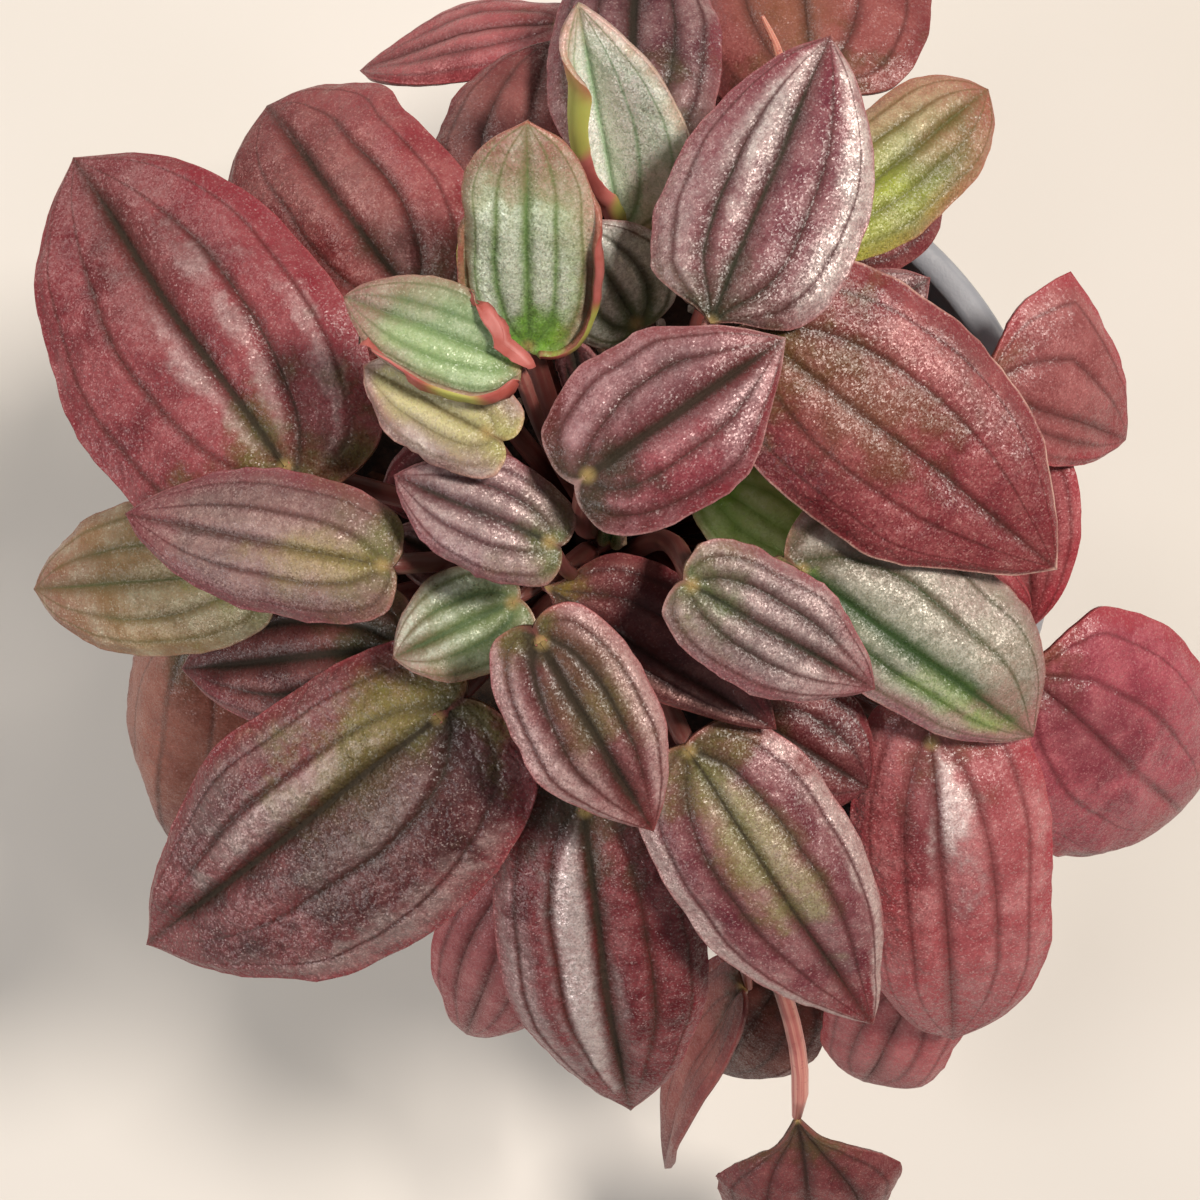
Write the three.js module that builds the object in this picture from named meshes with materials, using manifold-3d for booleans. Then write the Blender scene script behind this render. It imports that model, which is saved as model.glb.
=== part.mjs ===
// Ripple peperomia in a round nursery pot. Millimetres, +Z up, origin at the centre of the pot's flat foot.
import * as THREE from "three";
import { mergeVertices } from "three/addons/utils/BufferGeometryUtils.js";
import Module from "manifold-3d";

// Pot
const rimRadius = 55;
const rimHeight = 95;
const footRadius = 38;
const wallThickness = 1.6;
const floorThickness = 2;
const lipDepth = 8;
const lipWidth = 4.4;
const drainHoles = 8;
const drainRing = 26;
const drainRadius = 3.5;

// Soil and crown
const soilHeight = 83;
const clearance = 0.3;
const crownCentre = [-10, -3];
const crownRadius = 14;
const crownDepth = 12;
const crownTop = 86;

// Leaves and their stalks
const bladeThickness = 0.9;
const stackGap = 0.5;
const ridgeHeight = 0.13;
const stalkRadius = 1.25;
const stalkSides = 5;
const stalkSteps = 4;
const spikeRadius = 0.8;
const spikePath = [
  [-5, 3, 83], [0, 16, 101], [8, 37, 116],
  [13, 50, 120], [16, 60, 121], [13.6, 66.6, 124],
];

const wasm = await Module();
wasm.setup();

const part = new THREE.Group();
part.name = "ripple_peperomia";

function addMesh(name, geometry, color, roughness) {
  const material = new THREE.MeshStandardMaterial({ color, roughness, metalness: 0 });
  const mesh = new THREE.Mesh(geometry, material);
  mesh.name = name;
  part.add(mesh);
}

function toManifold(geometry) {
  const plain = new THREE.BufferGeometry();
  plain.setAttribute("position", geometry.attributes.position.clone());
  if (geometry.index) plain.setIndex(geometry.index.clone());
  const merged = mergeVertices(plain, 1e-4);
  const mesh = new wasm.Mesh({
    numProp: 3,
    vertProperties: Float32Array.from(merged.attributes.position.array),
    triVerts: Uint32Array.from(merged.index.array),
  });
  return new wasm.Manifold(mesh);
}

function toGeometry(solid) {
  const mesh = solid.getMesh();
  const geometry = new THREE.BufferGeometry();
  geometry.setAttribute("position", new THREE.BufferAttribute(Float32Array.from(mesh.vertProperties), 3));
  geometry.setIndex(Array.from(mesh.triVerts));
  return geometry;
}

// A small repeatable random source, so the part is the same at each build.
function seeded(seed) {
  let state = seed >>> 0;
  return () => {
    state = (state * 1664525 + 1013904223) >>> 0;
    return state / 4294967296;
  };
}

function lathe(profile, segments) {
  const points = profile.map(([r, z]) => new THREE.Vector2(r, z));
  const geometry = new THREE.LatheGeometry(points, segments);
  geometry.rotateX(Math.PI / 2);
  return geometry;
}

// Pot: a tapered thin wall with a thick down-turned lip and a ring of drain holes in its floor.
function potSolid() {
  const lipInner = rimRadius - lipWidth;
  const lipBottom = rimHeight - lipDepth;
  const wallTop = lipInner + wallThickness;
  const profile = [
    [0, 0],
    [footRadius - 0.8, 0],
    [footRadius, 0.8],
    [wallTop - 0.4, lipBottom - 1.2],
    [rimRadius - 0.9, lipBottom],
    [rimRadius, rimHeight - 1.4],
    [rimRadius - 1.5, rimHeight],
    [lipInner + 1.1, rimHeight],
    [lipInner, rimHeight - 1.3],
    [lipInner - 0.7, lipBottom - 1.2],
    [footRadius - wallThickness, floorThickness],
    [0, floorThickness],
  ];
  let pot = toManifold(lathe(profile, 48));
  for (let i = 0; i < drainHoles; i++) {
    const angle = (i / drainHoles) * Math.PI * 2;
    const hole = new THREE.CylinderGeometry(drainRadius, drainRadius, floorThickness * 3, 12);
    hole.rotateX(Math.PI / 2);
    hole.translate(drainRing * Math.cos(angle), drainRing * Math.sin(angle), 0);
    pot = pot.subtract(toManifold(hole));
  }
  return pot;
}

function innerRadius(z) {
  const bottom = footRadius - wallThickness;
  const top = rimRadius - lipWidth - 0.7;
  return bottom + ((top - bottom) * (z - floorThickness)) / (rimHeight - lipDepth - 1.2 - floorThickness);
}

// Soil: a tapered plug with a slightly uneven top and a plain round hole for the crown.
function soilSolid() {
  const random = seeded(7);
  const bottom = floorThickness + clearance;
  const edge = innerRadius(soilHeight) - clearance - 0.3;
  const profile = [
    [0, bottom],
    [innerRadius(bottom) - clearance - 1, bottom],
    [edge, soilHeight - 1.5],
    [edge - 2, soilHeight - 0.4],
    [edge * 0.82, soilHeight],
    [edge * 0.64, soilHeight],
    [edge * 0.46, soilHeight],
    [crownRadius, soilHeight],
    [0, soilHeight],
  ];
  const geometry = lathe(profile, 30);
  const merged = mergeVertices(geometry.deleteAttribute("normal").deleteAttribute("uv"), 1e-4);
  const position = merged.attributes.position;
  for (let i = 0; i < position.count; i++) {
    if (position.getZ(i) < soilHeight - 0.1) continue;
    position.setZ(i, soilHeight + (random() - 0.5) * 1.6);
  }
  const hole = new THREE.CylinderGeometry(crownRadius + clearance, crownRadius + clearance, 40, 24);
  hole.rotateX(Math.PI / 2);
  hole.translate(crownCentre[0], crownCentre[1], soilHeight - crownDepth - clearance + 20);
  return toManifold(merged).subtract(toManifold(hole));
}

// Half of a heart-shaped outline from the stalk point, round the lobe, to the tip.
// Each point holds its share of the lobe depth, the length, the half width and the taper.
// A lobe below zero is a base that tapers in place of a heart's lobes.
const outlinePoints = [
  [0, 0, 0, 0],
  [-0.62, 0, 0.2, 0.62],
  [-1, 0, 0.48, 1],
  [-0.9, 0.03, 0.76, 1.3],
  [-0.25, 0.16, 0.94, 1.05],
  [0, 0.34, 1, 0.5],
  [0, 0.54, 0.94, 0.2],
  [0, 0.73, 0.73, 0],
  [0, 0.9, 0.37, 0],
  [0, 1, 0, 0],
];

function outlineAt(s, lobe, point) {
  const last = outlinePoints.length - 1;
  const place = Math.min(s * last, last - 1e-9);
  const i = Math.floor(place);
  const u = place - i;
  const pick = (k) => {
    const [a, b, c, taper] = outlinePoints[Math.max(0, Math.min(last, k))];
    const narrow = k > 6 && k < last ? point : 0;
    return [b + (lobe < 0 ? -taper : a) * lobe, c - narrow];
  };
  const [p0, p1, p2, p3] = [pick(i - 1), pick(i), pick(i + 1), pick(i + 2)];
  return [0, 1].map((k) => {
    const a = 2 * p1[k];
    const b = (p2[k] - p0[k]) * u;
    const c = (2 * p0[k] - 5 * p1[k] + 4 * p2[k] - p3[k]) * u * u;
    const d = (3 * p1[k] - p0[k] - 3 * p2[k] + p3[k]) * u * u * u;
    return 0.5 * (a + b + c + d);
  });
}

// Puffed strips between the furrows that run from the stalk point to the tip.
function ridgeAt(t, furrows) {
  const at = Math.abs(t);
  const stops = [...furrows, 1];
  let k = 0;
  while (k < stops.length - 2 && at > stops[k + 1]) k++;
  const u = (at - stops[k]) / (stops[k + 1] - stops[k]);
  const outer = k === stops.length - 2;
  const rise = Math.pow(Math.max(0, Math.sin(Math.PI * Math.min(1, u))), 0.75);
  return outer && u > 0.5 ? 0.35 + 0.65 * rise : rise;
}

// A point of the blade's upper face, and the face's plain normal there.
function bladePoint(leaf, s, t) {
  const half = (leaf.width / 2) * (t < 0 ? 1 - leaf.side : 1 + leaf.side);
  const [mx, plain] = outlineAt(s, leaf.lobe, leaf.point);
  const corner = t > 0 ? leaf.corner : 0;
  const my = plain * (1 - corner) + corner * Math.min(s / 0.52, (1 - s) / 0.48);
  const mid = Math.pow(s, 1.15);
  const at = Math.abs(t);
  const along = (mid + (mx - mid) * at) * leaf.arc;
  const across = my * at * half;
  const envelope = Math.min(1, s / 0.16) * Math.min(1, (1 - s) / 0.3);
  const ridge = ridgeAt(t, leaf.furrows) * ridgeHeight * my * half * envelope;
  const wave = leaf.wave * Math.sin(leaf.waves * Math.PI * s + (t > 0 ? 0 : 2)) * at * at * at * envelope;
  const turn = -leaf.arch / half;
  const start = leaf.fold;
  const lean = start + turn * across;
  const flat = Math.abs(turn) < 1e-6;
  const side = flat ? across * Math.cos(start) : (Math.sin(lean) - Math.sin(start)) / turn;
  const rise = flat ? across * Math.sin(start) : (Math.cos(start) - Math.cos(lean)) / turn;
  const lift = ridge + wave;
  const sign = t < 0 ? -1 : 1;
  const y = sign * (side - Math.sin(lean) * lift);
  const z = rise + Math.cos(lean) * lift;
  const pitch = leaf.bend / 2 - (leaf.bend * along) / leaf.arc;
  const bent = Math.abs(leaf.bend) > 1e-6;
  const k = leaf.bend / leaf.arc;
  const x0 = bent ? (Math.sin(leaf.bend / 2) - Math.sin(pitch)) / k : along;
  const z0 = bent ? (Math.cos(pitch) - Math.cos(leaf.bend / 2)) / k : 0;
  const place = (px, py, pz) =>
    new THREE.Vector3()
      .addScaledVector(leaf.forward, px)
      .addScaledVector(leaf.left, py)
      .addScaledVector(leaf.up, pz);
  const point = place(x0 - Math.sin(pitch) * z, y, z0 + Math.cos(pitch) * z).add(leaf.base);
  const normal = place(
    -Math.sin(pitch) * Math.cos(lean),
    -sign * Math.sin(lean),
    Math.cos(pitch) * Math.cos(lean),
  );
  if (at < 1e-9) normal.copy(place(-Math.sin(pitch), 0, Math.cos(pitch)));
  return { point, normal };
}

const degree = Math.PI / 180;

function makeLeaf(name, base, tip, width, options) {
  const leaf = { name, width, lobe: 0.11, point: 0, side: 0, bend: 30, arch: 25, fold: 0, roll: 0 };
  Object.assign(leaf, { wave: 0.4, waves: 3, corner: 0 });
  Object.assign(leaf, { size: "middle", tint: "burgundy", rise: 26, reach: 16, stalk: null }, options);
  leaf.base = new THREE.Vector3(...base);
  const chord = new THREE.Vector3(...tip).sub(leaf.base);
  leaf.forward = chord.clone().normalize();
  const flatLeft = new THREE.Vector3(0, 0, 1).cross(leaf.forward).normalize();
  const flatUp = leaf.forward.clone().cross(flatLeft);
  const roll = leaf.roll * degree;
  leaf.left = flatLeft.clone().multiplyScalar(Math.cos(roll)).addScaledVector(flatUp, Math.sin(roll));
  leaf.up = leaf.forward.clone().cross(leaf.left);
  leaf.bend *= degree;
  leaf.arch *= degree;
  leaf.fold *= degree;
  const half = Math.abs(leaf.bend) / 2;
  leaf.arc = half > 1e-6 ? (chord.length() * half) / Math.sin(half) : chord.length();
  leaf.furrows = leaf.size === "small" ? [0, 0.5] : [0, 0.36, 0.7];
  return leaf;
}

function columnsOf(leaf) {
  const stops = [...leaf.furrows, 1];
  const right = [0];
  for (let i = 1; i < stops.length; i++) {
    right.push((stops[i - 1] + stops[i]) / 2, stops[i]);
  }
  const left = right.slice(1).reverse().map((v) => -v);
  return [...left, ...right];
}

function rowsOf(leaf) {
  const count = { large: 8, middle: 7, small: 6 }[leaf.size];
  return Array.from({ length: count }, (_, i) => Math.pow(i / (count - 1), 0.95));
}

// The blade as a closed body: two matching faces and a rim, with one point at the stalk and one at the tip.
function bladeGeometry(leaf) {
  const rows = rowsOf(leaf);
  const columns = columnsOf(leaf);
  const vertices = [];
  const faces = [];
  const grid = [0, 1].map((side) =>
    rows.map((s, i) => {
      const ends = i === 0 || i === rows.length - 1;
      const ring = (ends ? [0] : columns).map((t) => {
        const { point, normal } = bladePoint(leaf, s, t);
        const p = side ? point.addScaledVector(normal, -bladeThickness) : point;
        vertices.push(p.x, p.y, p.z);
        return vertices.length / 3 - 1;
      });
      return ends ? columns.map(() => ring[0]) : ring;
    }),
  );
  const tri = (a, b, c) => {
    if (a !== b && b !== c && a !== c) faces.push(a, b, c);
  };
  for (let i = 0; i < rows.length - 1; i++) {
    for (let j = 0; j < columns.length - 1; j++) {
      const [a, b, c, d] = [grid[0][i][j], grid[0][i + 1][j], grid[0][i + 1][j + 1], grid[0][i][j + 1]];
      const [e, f, g, h] = [grid[1][i][j], grid[1][i + 1][j], grid[1][i + 1][j + 1], grid[1][i][j + 1]];
      tri(a, b, c);
      tri(a, c, d);
      tri(e, g, f);
      tri(e, h, g);
    }
    const end = columns.length - 1;
    tri(grid[0][i][0], grid[1][i][0], grid[0][i + 1][0]);
    tri(grid[0][i + 1][0], grid[1][i][0], grid[1][i + 1][0]);
    tri(grid[0][i][end], grid[0][i + 1][end], grid[1][i][end]);
    tri(grid[0][i + 1][end], grid[1][i + 1][end], grid[1][i][end]);
  }
  const geometry = new THREE.BufferGeometry();
  geometry.setAttribute("position", new THREE.BufferAttribute(new Float32Array(vertices), 3));
  geometry.setIndex(faces);
  return geometry;
}

// Leaves from the lowest to the highest. Each has its stalk point, its tip and its width.
const leaves = [
  // around and below the lip
  makeLeaf("leaf_hanging", [19, -94, 66], [23, -126, 38], 33, {
    bend: 40, arch: 40, lobe: -0.2, tint: "dark", stalk: [-0.1, -0.7, -0.65], rise: 50, reach: 40,
  }),
  makeLeaf("leaf_front_low", [16, -70, 77], [6, -89, 57], 24, {
    bend: 40, lobe: 0.04, size: "small", tint: "dark", stalk: [0.05, -0.55, -0.8], rise: 62, reach: 46,
  }),
  makeLeaf("leaf_edge_low", [11, -67, 92], [-2, -103, 64], 15, {
    bend: 25, fold: 20, roll: 65, lobe: 0.02, size: "small", tint: "dark",
    stalk: [0.1, -0.85, -0.4], rise: 46, reach: 22,
  }),
  makeLeaf("leaf_front_rose", [35, -66, 98], [29, -85, 76], 21, {
    bend: 40, point: -0.1, size: "small", tint: "rose", stalk: [0.3, -0.9, -0.25], rise: 42, reach: 20,
  }),
  makeLeaf("leaf_front_left_low", [-19, -50, 103], [-32, -79, 76], 21, { bend: 45, tint: "rose" }),
  makeLeaf("leaf_left_low", [-67, -16, 108], [-78, -50, 76], 32, {
    bend: 40, fold: -20, roll: 20, tint: "dark",
  }),
  makeLeaf("leaf_right_edge", [50, 10, 105], [51, -14, 99], 14, {
    bend: 10, arch: 0, size: "small", tint: "rose",
  }),
  makeLeaf("leaf_right_tip", [30, -2, 110], [51, -11, 98], 14, { size: "small", tint: "rose" }),
  makeLeaf("leaf_skirt_left", [-42, 22, 112], [-62, 38, 97], 24, { bend: 40, size: "small", tint: "dark" }),
  makeLeaf("leaf_skirt_front_left", [-42, -32, 108], [-58, -52, 86], 22, {
    bend: 45, size: "small", tint: "dark",
  }),
  makeLeaf("leaf_skirt_back_left", [-24, 38, 110], [-36, 53, 95], 22, { size: "small", tint: "dark" }),
  makeLeaf("leaf_skirt_back", [2, 48, 110], [3, 69, 95], 20, { size: "small", tint: "dark" }),
  makeLeaf("leaf_skirt_back_right", [25, 40, 108], [37, 52, 96], 18, { size: "small", tint: "dark" }),
  makeLeaf("leaf_skirt_front", [-4, -40, 110], [-8, -60, 97], 20, { size: "small", tint: "dark" }),
  makeLeaf("leaf_right_fold", [42, 19, 116], [64, 12.5, 97], 26, {
    bend: 50, arch: 10, side: 0.47, lobe: -0.05, corner: 0.9, tint: "rose",
  }),
  makeLeaf("leaf_right_large", [48, -18, 119], [74, -41, 88], 36, {
    bend: 60, lobe: -0.03, point: -0.12, size: "large", tint: "rose",
  }),
  makeLeaf("leaf_front_right", [36, -27, 122], [41, -73, 95], 28, {
    bend: 50, point: -0.1, side: 0.12, size: "large", tint: "rose",
  }),
  makeLeaf("leaf_back_right_far", [20, 62, 112], [17, 93, 92], 36, {
    bend: 40, size: "large", tint: "dark",
  }),
  makeLeaf("leaf_back_left_far", [-14, 69, 108], [-44, 65, 96], 16, { roll: 40, tint: "rose" }),
  makeLeaf("leaf_back_brown", [-20, 39, 123], [-15, 66, 110], 25, { tint: "dark" }),
  makeLeaf("leaf_back_purple", [-3, 52, 128], [-3, 79, 115], 24, { bend: 30, tint: "purple" }),
  makeLeaf("leaf_under_top_right", [15, 20, 118], [36, 34, 112], 16, { size: "small", tint: "purple" }),
  makeLeaf("leaf_back_green", [23, 41, 125], [43, 58, 117], 18, { point: -0.12, tint: "lime" }),
  makeLeaf("leaf_under_left", [-26, 9, 106], [-40, 4, 104], 13, { size: "small", tint: "purple" }),
  makeLeaf("leaf_under_centre_left", [-24, -6, 115], [-37, 0, 113], 11, { size: "small", tint: "silver" }),
  makeLeaf("leaf_left_purple", [-35, -15, 126], [-66, -19, 114], 22, { point: 0.05, tint: "purple" }),
  makeLeaf("leaf_left_green", [-54, -5, 128], [-86, -8, 116], 22, { point: -0.06, tint: "green" }),
  makeLeaf("leaf_front_dark", [14, -24, 124], [28, -33, 120], 20, { size: "small", tint: "dark" }),
  makeLeaf("leaf_under_right_green", [8, 6, 122], [24, -4, 120], 14, { size: "small", tint: "green" }),
  // middle of the dome
  makeLeaf("leaf_upper_left", [-31, 31, 131], [-54, 58, 111], 31, { bend: 40, point: -0.2, size: "large" }),
  makeLeaf("leaf_front_large", [-9, -36, 128], [-5, -84, 98], 30, { bend: 45, point: 0.08, size: "large" }),
  makeLeaf("leaf_left_front_large", [-27, -23, 136], [-72, -58, 112], 38, {
    bend: 40, side: 0.2, point: 0.09, size: "large",
  }),
  makeLeaf("leaf_new_folded", [-4, 38, 128], [-8, 64, 147], 18, {
    bend: -10, fold: 30, arch: 20, lobe: -0.05, side: -0.25, tint: "silver",
  }),
  makeLeaf("leaf_dark_small", [-2, 27, 131], [-9, 39, 139], 18, { size: "small", tint: "silver" }),
  makeLeaf("leaf_new_purple", [-9, 18, 128], [-10, 25, 136], 6, { size: "small", bend: 5, tint: "purple" }),
  makeLeaf("leaf_bud", [-6, -1, 124], [-4, 3, 137], 4, { size: "small", bend: 0, fold: 30, tint: "green" }),
  makeLeaf("leaf_upper_green", [-15, 24, 136], [-13, 49, 154], 17, {
    bend: 15, lobe: 0.05, point: -0.2, tint: "green",
  }),
  makeLeaf("leaf_right_green", [19, -4, 134], [49, -26, 123], 24, {
    point: -0.1, side: 0.3, tint: "green", stalk: [0.4, 0.5, 0.8],
  }),
  makeLeaf("leaf_front_small_green", [-17, -8, 139], [-32, -15, 140], 15, { size: "small", tint: "green" }),
  makeLeaf("leaf_front_right_large", [5, -27, 135], [29, -66, 117], 26, {
    bend: 40, lobe: 0.03, point: 0.08, size: "large",
  }),
  makeLeaf("leaf_centre_brown", [-13, -6, 139], [16, -24, 136], 16, {
    lobe: -0.08, point: 0.05, side: 0.35, tint: "dark",
  }),
  makeLeaf("leaf_right_top_large", [15, 24, 142], [51, -4, 129], 31, {
    side: 0.08, point: 0.05, size: "large",
  }),
  makeLeaf("leaf_upper_right", [8, 26, 145], [22, 60, 143], 26, {
    bend: 15, lobe: -0.05, side: -0.06, point: 0.02, size: "large", tint: "silver",
  }),
  makeLeaf("leaf_left_large", [-46, 9, 138], [-78, 50, 121], 40, {
    arch: 18, side: 0.05, size: "large", rise: 36, reach: 20,
  }),
  makeLeaf("leaf_left_middle", [-32, -3, 147], [-66, 3, 140], 19, {
    lobe: 0.06, point: 0.04, tint: "purple",
  }),
  // top of the dome
  makeLeaf("leaf_centre_left", [-11, 0, 151], [-30, 8, 150], 15, {
    point: 0.05, size: "small", tint: "purple",
  }),
  makeLeaf("leaf_centre_pale", [-18, 13, 151], [-33, 21, 149], 14, {
    lobe: 0.2, size: "small", tint: "lime",
  }),
  makeLeaf("leaf_new_curled", [-14, 21, 154], [-35, 29, 152], 13, {
    fold: 15, lobe: 0.03, size: "small", tint: "green",
  }),
  makeLeaf("leaf_centre_right", [6, -5, 152], [28, -18, 144], 17, {
    lobe: 0.07, point: 0.05, tint: "silver", stalk: [0.2, -0.6, 0.8],
  }),
  makeLeaf("leaf_centre_front", [-12, -12, 152], [1, -36, 143], 19, {
    point: 0.06, stalk: [0.1, 0.35, 0.93],
  }),
  makeLeaf("leaf_centre_heart", [-6, 8, 157], [17, 24, 155], 23, { point: 0.1, size: "large" }),
];

// Lifts each leaf just enough to clear every leaf below it.
function stackLeaves() {
  const pitch = 1;
  const tops = new Map();
  for (const leaf of leaves) {
    const low = new Map();
    const high = new Map();
    for (let s = 0; s <= 1.0001; s += 0.02) {
      for (let t = -1; t <= 1.0001; t += 0.05) {
        const { point, normal } = bladePoint(leaf, Math.min(1, s), t);
        const under = point.clone().addScaledVector(normal, -bladeThickness);
        const key = Math.round(point.x / pitch) * 1000 + Math.round(point.y / pitch);
        high.set(key, Math.max(high.get(key) ?? -1e9, point.z, under.z));
        low.set(key, Math.min(low.get(key) ?? 1e9, point.z, under.z));
      }
    }
    let lift = 0;
    for (const [key, z] of low) {
      for (const near of [0, 1, -1, 1000, -1000]) {
        const below = tops.get(key + near);
        if (below !== undefined) lift = Math.max(lift, below + stackGap - z);
      }
    }
    leaf.base.z += lift;
    leaf.lift = lift;
    for (const [key, z] of high) {
      tops.set(key, Math.max(tops.get(key) ?? -1e9, z + lift));
    }
  }
}

// A leaf stalk from the crown up to just below the blade's stalk point.
function stalkSolid(leaf, random) {
  const { normal } = bladePoint(leaf, 0, 0);
  const centre = new THREE.Vector3(crownCentre[0], crownCentre[1], 0);
  const out = leaf.base.clone().sub(centre).setZ(0);
  const far = out.length();
  out.normalize();
  const low = Math.max(0, Math.min(1, (160 - leaf.base.z) / 60));
  const rootOut = Math.min(far * 0.5, 2 + low * 9 + random());
  const root = centre.clone().addScaledVector(out, rootOut).setZ(soilHeight - 1);
  const way = leaf.stalk
    ? new THREE.Vector3(...leaf.stalk).normalize()
    : out.clone().multiplyScalar(0.75).setZ(0.8).normalize();
  const radius = leaf.size === "small" ? stalkRadius * 0.7 : stalkRadius;
  const tilt = Math.sqrt(Math.max(0, 1 - way.dot(normal) ** 2));
  const below = bladeThickness + clearance + 0.05 + radius * tilt;
  const end = leaf.base.clone().addScaledVector(normal, -below);
  const first = root.clone().addScaledVector(out, far * 0.18).setZ(root.z + leaf.rise);
  const second = end.clone().addScaledVector(way, -leaf.reach);
  const path = new THREE.CubicBezierCurve3(root, first, second, end);
  const ring = [];
  for (let i = 0; i < stalkSides; i++) {
    const angle = (i / stalkSides) * Math.PI * 2;
    ring.push(new THREE.Vector2(radius * Math.cos(angle), radius * Math.sin(angle)));
  }
  const section = new THREE.Shape(ring);
  const steps = leaf.size === "small" ? stalkSteps - 1 : stalkSteps;
  const options = { steps, extrudePath: path, bevelEnabled: false };
  return toManifold(new THREE.ExtrudeGeometry(section, options));
}

// A tube whose radius changes along its path, closed by a point at each end.
function taperedTube(path, steps, sides, radiusAt) {
  const frames = path.computeFrenetFrames(steps, false);
  const vertices = [];
  const faces = [];
  for (let i = 0; i <= steps; i++) {
    const centre = path.getPointAt(i / steps);
    for (let j = 0; j < sides; j++) {
      const angle = (j / sides) * Math.PI * 2;
      const p = centre.clone();
      p.addScaledVector(frames.normals[i], radiusAt(i / steps) * Math.cos(angle));
      p.addScaledVector(frames.binormals[i], radiusAt(i / steps) * Math.sin(angle));
      vertices.push(p.x, p.y, p.z);
    }
  }
  const first = vertices.length / 3;
  vertices.push(...path.getPointAt(0).toArray(), ...path.getPointAt(1).toArray());
  for (let j = 0; j < sides; j++) {
    const next = (j + 1) % sides;
    for (let i = 0; i < steps; i++) {
      const [a, b, c, d] = [i * sides + j, i * sides + next, (i + 1) * sides + next, (i + 1) * sides + j];
      faces.push(a, b, c, a, c, d);
    }
    faces.push(first, next, j, first + 1, steps * sides + j, steps * sides + next);
  }
  const geometry = new THREE.BufferGeometry();
  geometry.setAttribute("position", new THREE.BufferAttribute(new Float32Array(vertices), 3));
  geometry.setIndex(faces);
  return geometry;
}

// Flower spike: one thin rat-tail on its own stalk, bent over at the tip.
function spikeSolid() {
  const places = spikePath.map((p) => new THREE.Vector3(...p));
  const path = new THREE.CatmullRomCurve3(places, false, "centripetal");
  const radiusAt = (u) => (u < 0.75 ? spikeRadius : spikeRadius * (1.15 - 2.2 * (u - 0.75)));
  return toManifold(taperedTube(path, 11, 5, radiusAt));
}

// Crown: the short thick base that every stalk grows from.
function stemsSolid() {
  const random = seeded(21);
  const profile = [
    [0, soilHeight - crownDepth],
    [crownRadius - 1, soilHeight - crownDepth],
    [crownRadius, soilHeight - crownDepth + 1],
    [crownRadius, soilHeight - 0.5],
    [crownRadius - 2.5, soilHeight + 1.5],
    [crownRadius * 0.5, crownTop],
    [0, crownTop + 0.6],
  ];
  const crown = lathe(profile, 24).translate(crownCentre[0], crownCentre[1], 0);
  let stems = toManifold(crown);
  for (const leaf of leaves) {
    stems = stems.add(stalkSolid(leaf, random));
  }
  return stems.add(spikeSolid());
}

const tints = {
  burgundy: "#7d4450",
  rose: "#8a4350",
  dark: "#5d3038",
  purple: "#6f4653",
  silver: "#7f7a76",
  green: "#6f8a60",
  lime: "#93995f",
};

stackLeaves();
addMesh("pot", toGeometry(potSolid()), "#8f9094", 0.55);
addMesh("soil", toGeometry(soilSolid()), "#1d1613", 0.95);
addMesh("stems", toGeometry(stemsSolid()), "#b0605c", 0.5);
for (const leaf of leaves) {
  addMesh(leaf.name, bladeGeometry(leaf), tints[leaf.tint], 0.4);
}

export default part;
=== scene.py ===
import bpy
import bmesh
import math
import random
from mathutils import Matrix, Vector, noise


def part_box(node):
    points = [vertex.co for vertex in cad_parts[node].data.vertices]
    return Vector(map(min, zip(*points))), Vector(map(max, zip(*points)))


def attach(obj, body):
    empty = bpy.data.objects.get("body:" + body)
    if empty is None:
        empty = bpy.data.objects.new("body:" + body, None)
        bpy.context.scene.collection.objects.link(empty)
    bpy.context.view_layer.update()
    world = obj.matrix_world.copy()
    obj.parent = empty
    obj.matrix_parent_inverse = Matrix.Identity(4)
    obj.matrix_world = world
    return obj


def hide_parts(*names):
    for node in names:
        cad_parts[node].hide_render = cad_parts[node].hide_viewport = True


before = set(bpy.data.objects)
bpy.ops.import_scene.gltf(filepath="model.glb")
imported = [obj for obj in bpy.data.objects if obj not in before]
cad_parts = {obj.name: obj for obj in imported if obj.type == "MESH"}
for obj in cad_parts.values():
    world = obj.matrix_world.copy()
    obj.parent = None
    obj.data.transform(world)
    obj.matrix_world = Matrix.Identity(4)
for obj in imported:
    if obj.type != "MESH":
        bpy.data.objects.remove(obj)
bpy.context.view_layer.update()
mm = 0.001  # forms are given in millimetres, and Blender works in metres


def linear(hexColour):
    # sRGB hex to linear colour
    parts = [int(hexColour[i:i + 2], 16) / 255 for i in (1, 3, 5)]
    return [c / 12.92 if c <= 0.04045 else ((c + 0.055) / 1.055) ** 2.4 for c in parts] + [1.0]


def setSockets(tree, node, inputs):
    # a socket takes a value, a hex colour, a node or (node, output)
    for name, value in inputs.items():
        socket = node.inputs[name]
        if isinstance(value, bpy.types.Node):
            tree.links.new(value.outputs[0], socket)
        elif isinstance(value, tuple) and isinstance(value[0], bpy.types.Node):
            tree.links.new(value[0].outputs[value[1]], socket)
        elif isinstance(value, str):
            socket.default_value = linear(value)
        else:
            socket.default_value = value


def addNode(tree, kind, settings=None, inputs=None):
    node = tree.nodes.new(kind)
    for name, value in (settings or {}).items():
        setattr(node, name, value)
    setSockets(tree, node, inputs or {})
    return node


def mixColour(tree, amount, first, second):
    return (addNode(tree, "ShaderNodeMix", {"data_type": "RGBA"}, {0: amount, 6: first, 7: second}), 2)


def fade(tree, value, low, high, start=0.0, end=1.0):
    # smooth step from start at low to end at high
    return addNode(tree, "ShaderNodeMapRange", {"interpolation_type": "SMOOTHSTEP"},
                   {0: value, 1: low, 2: high, 3: start, 4: end})


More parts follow.
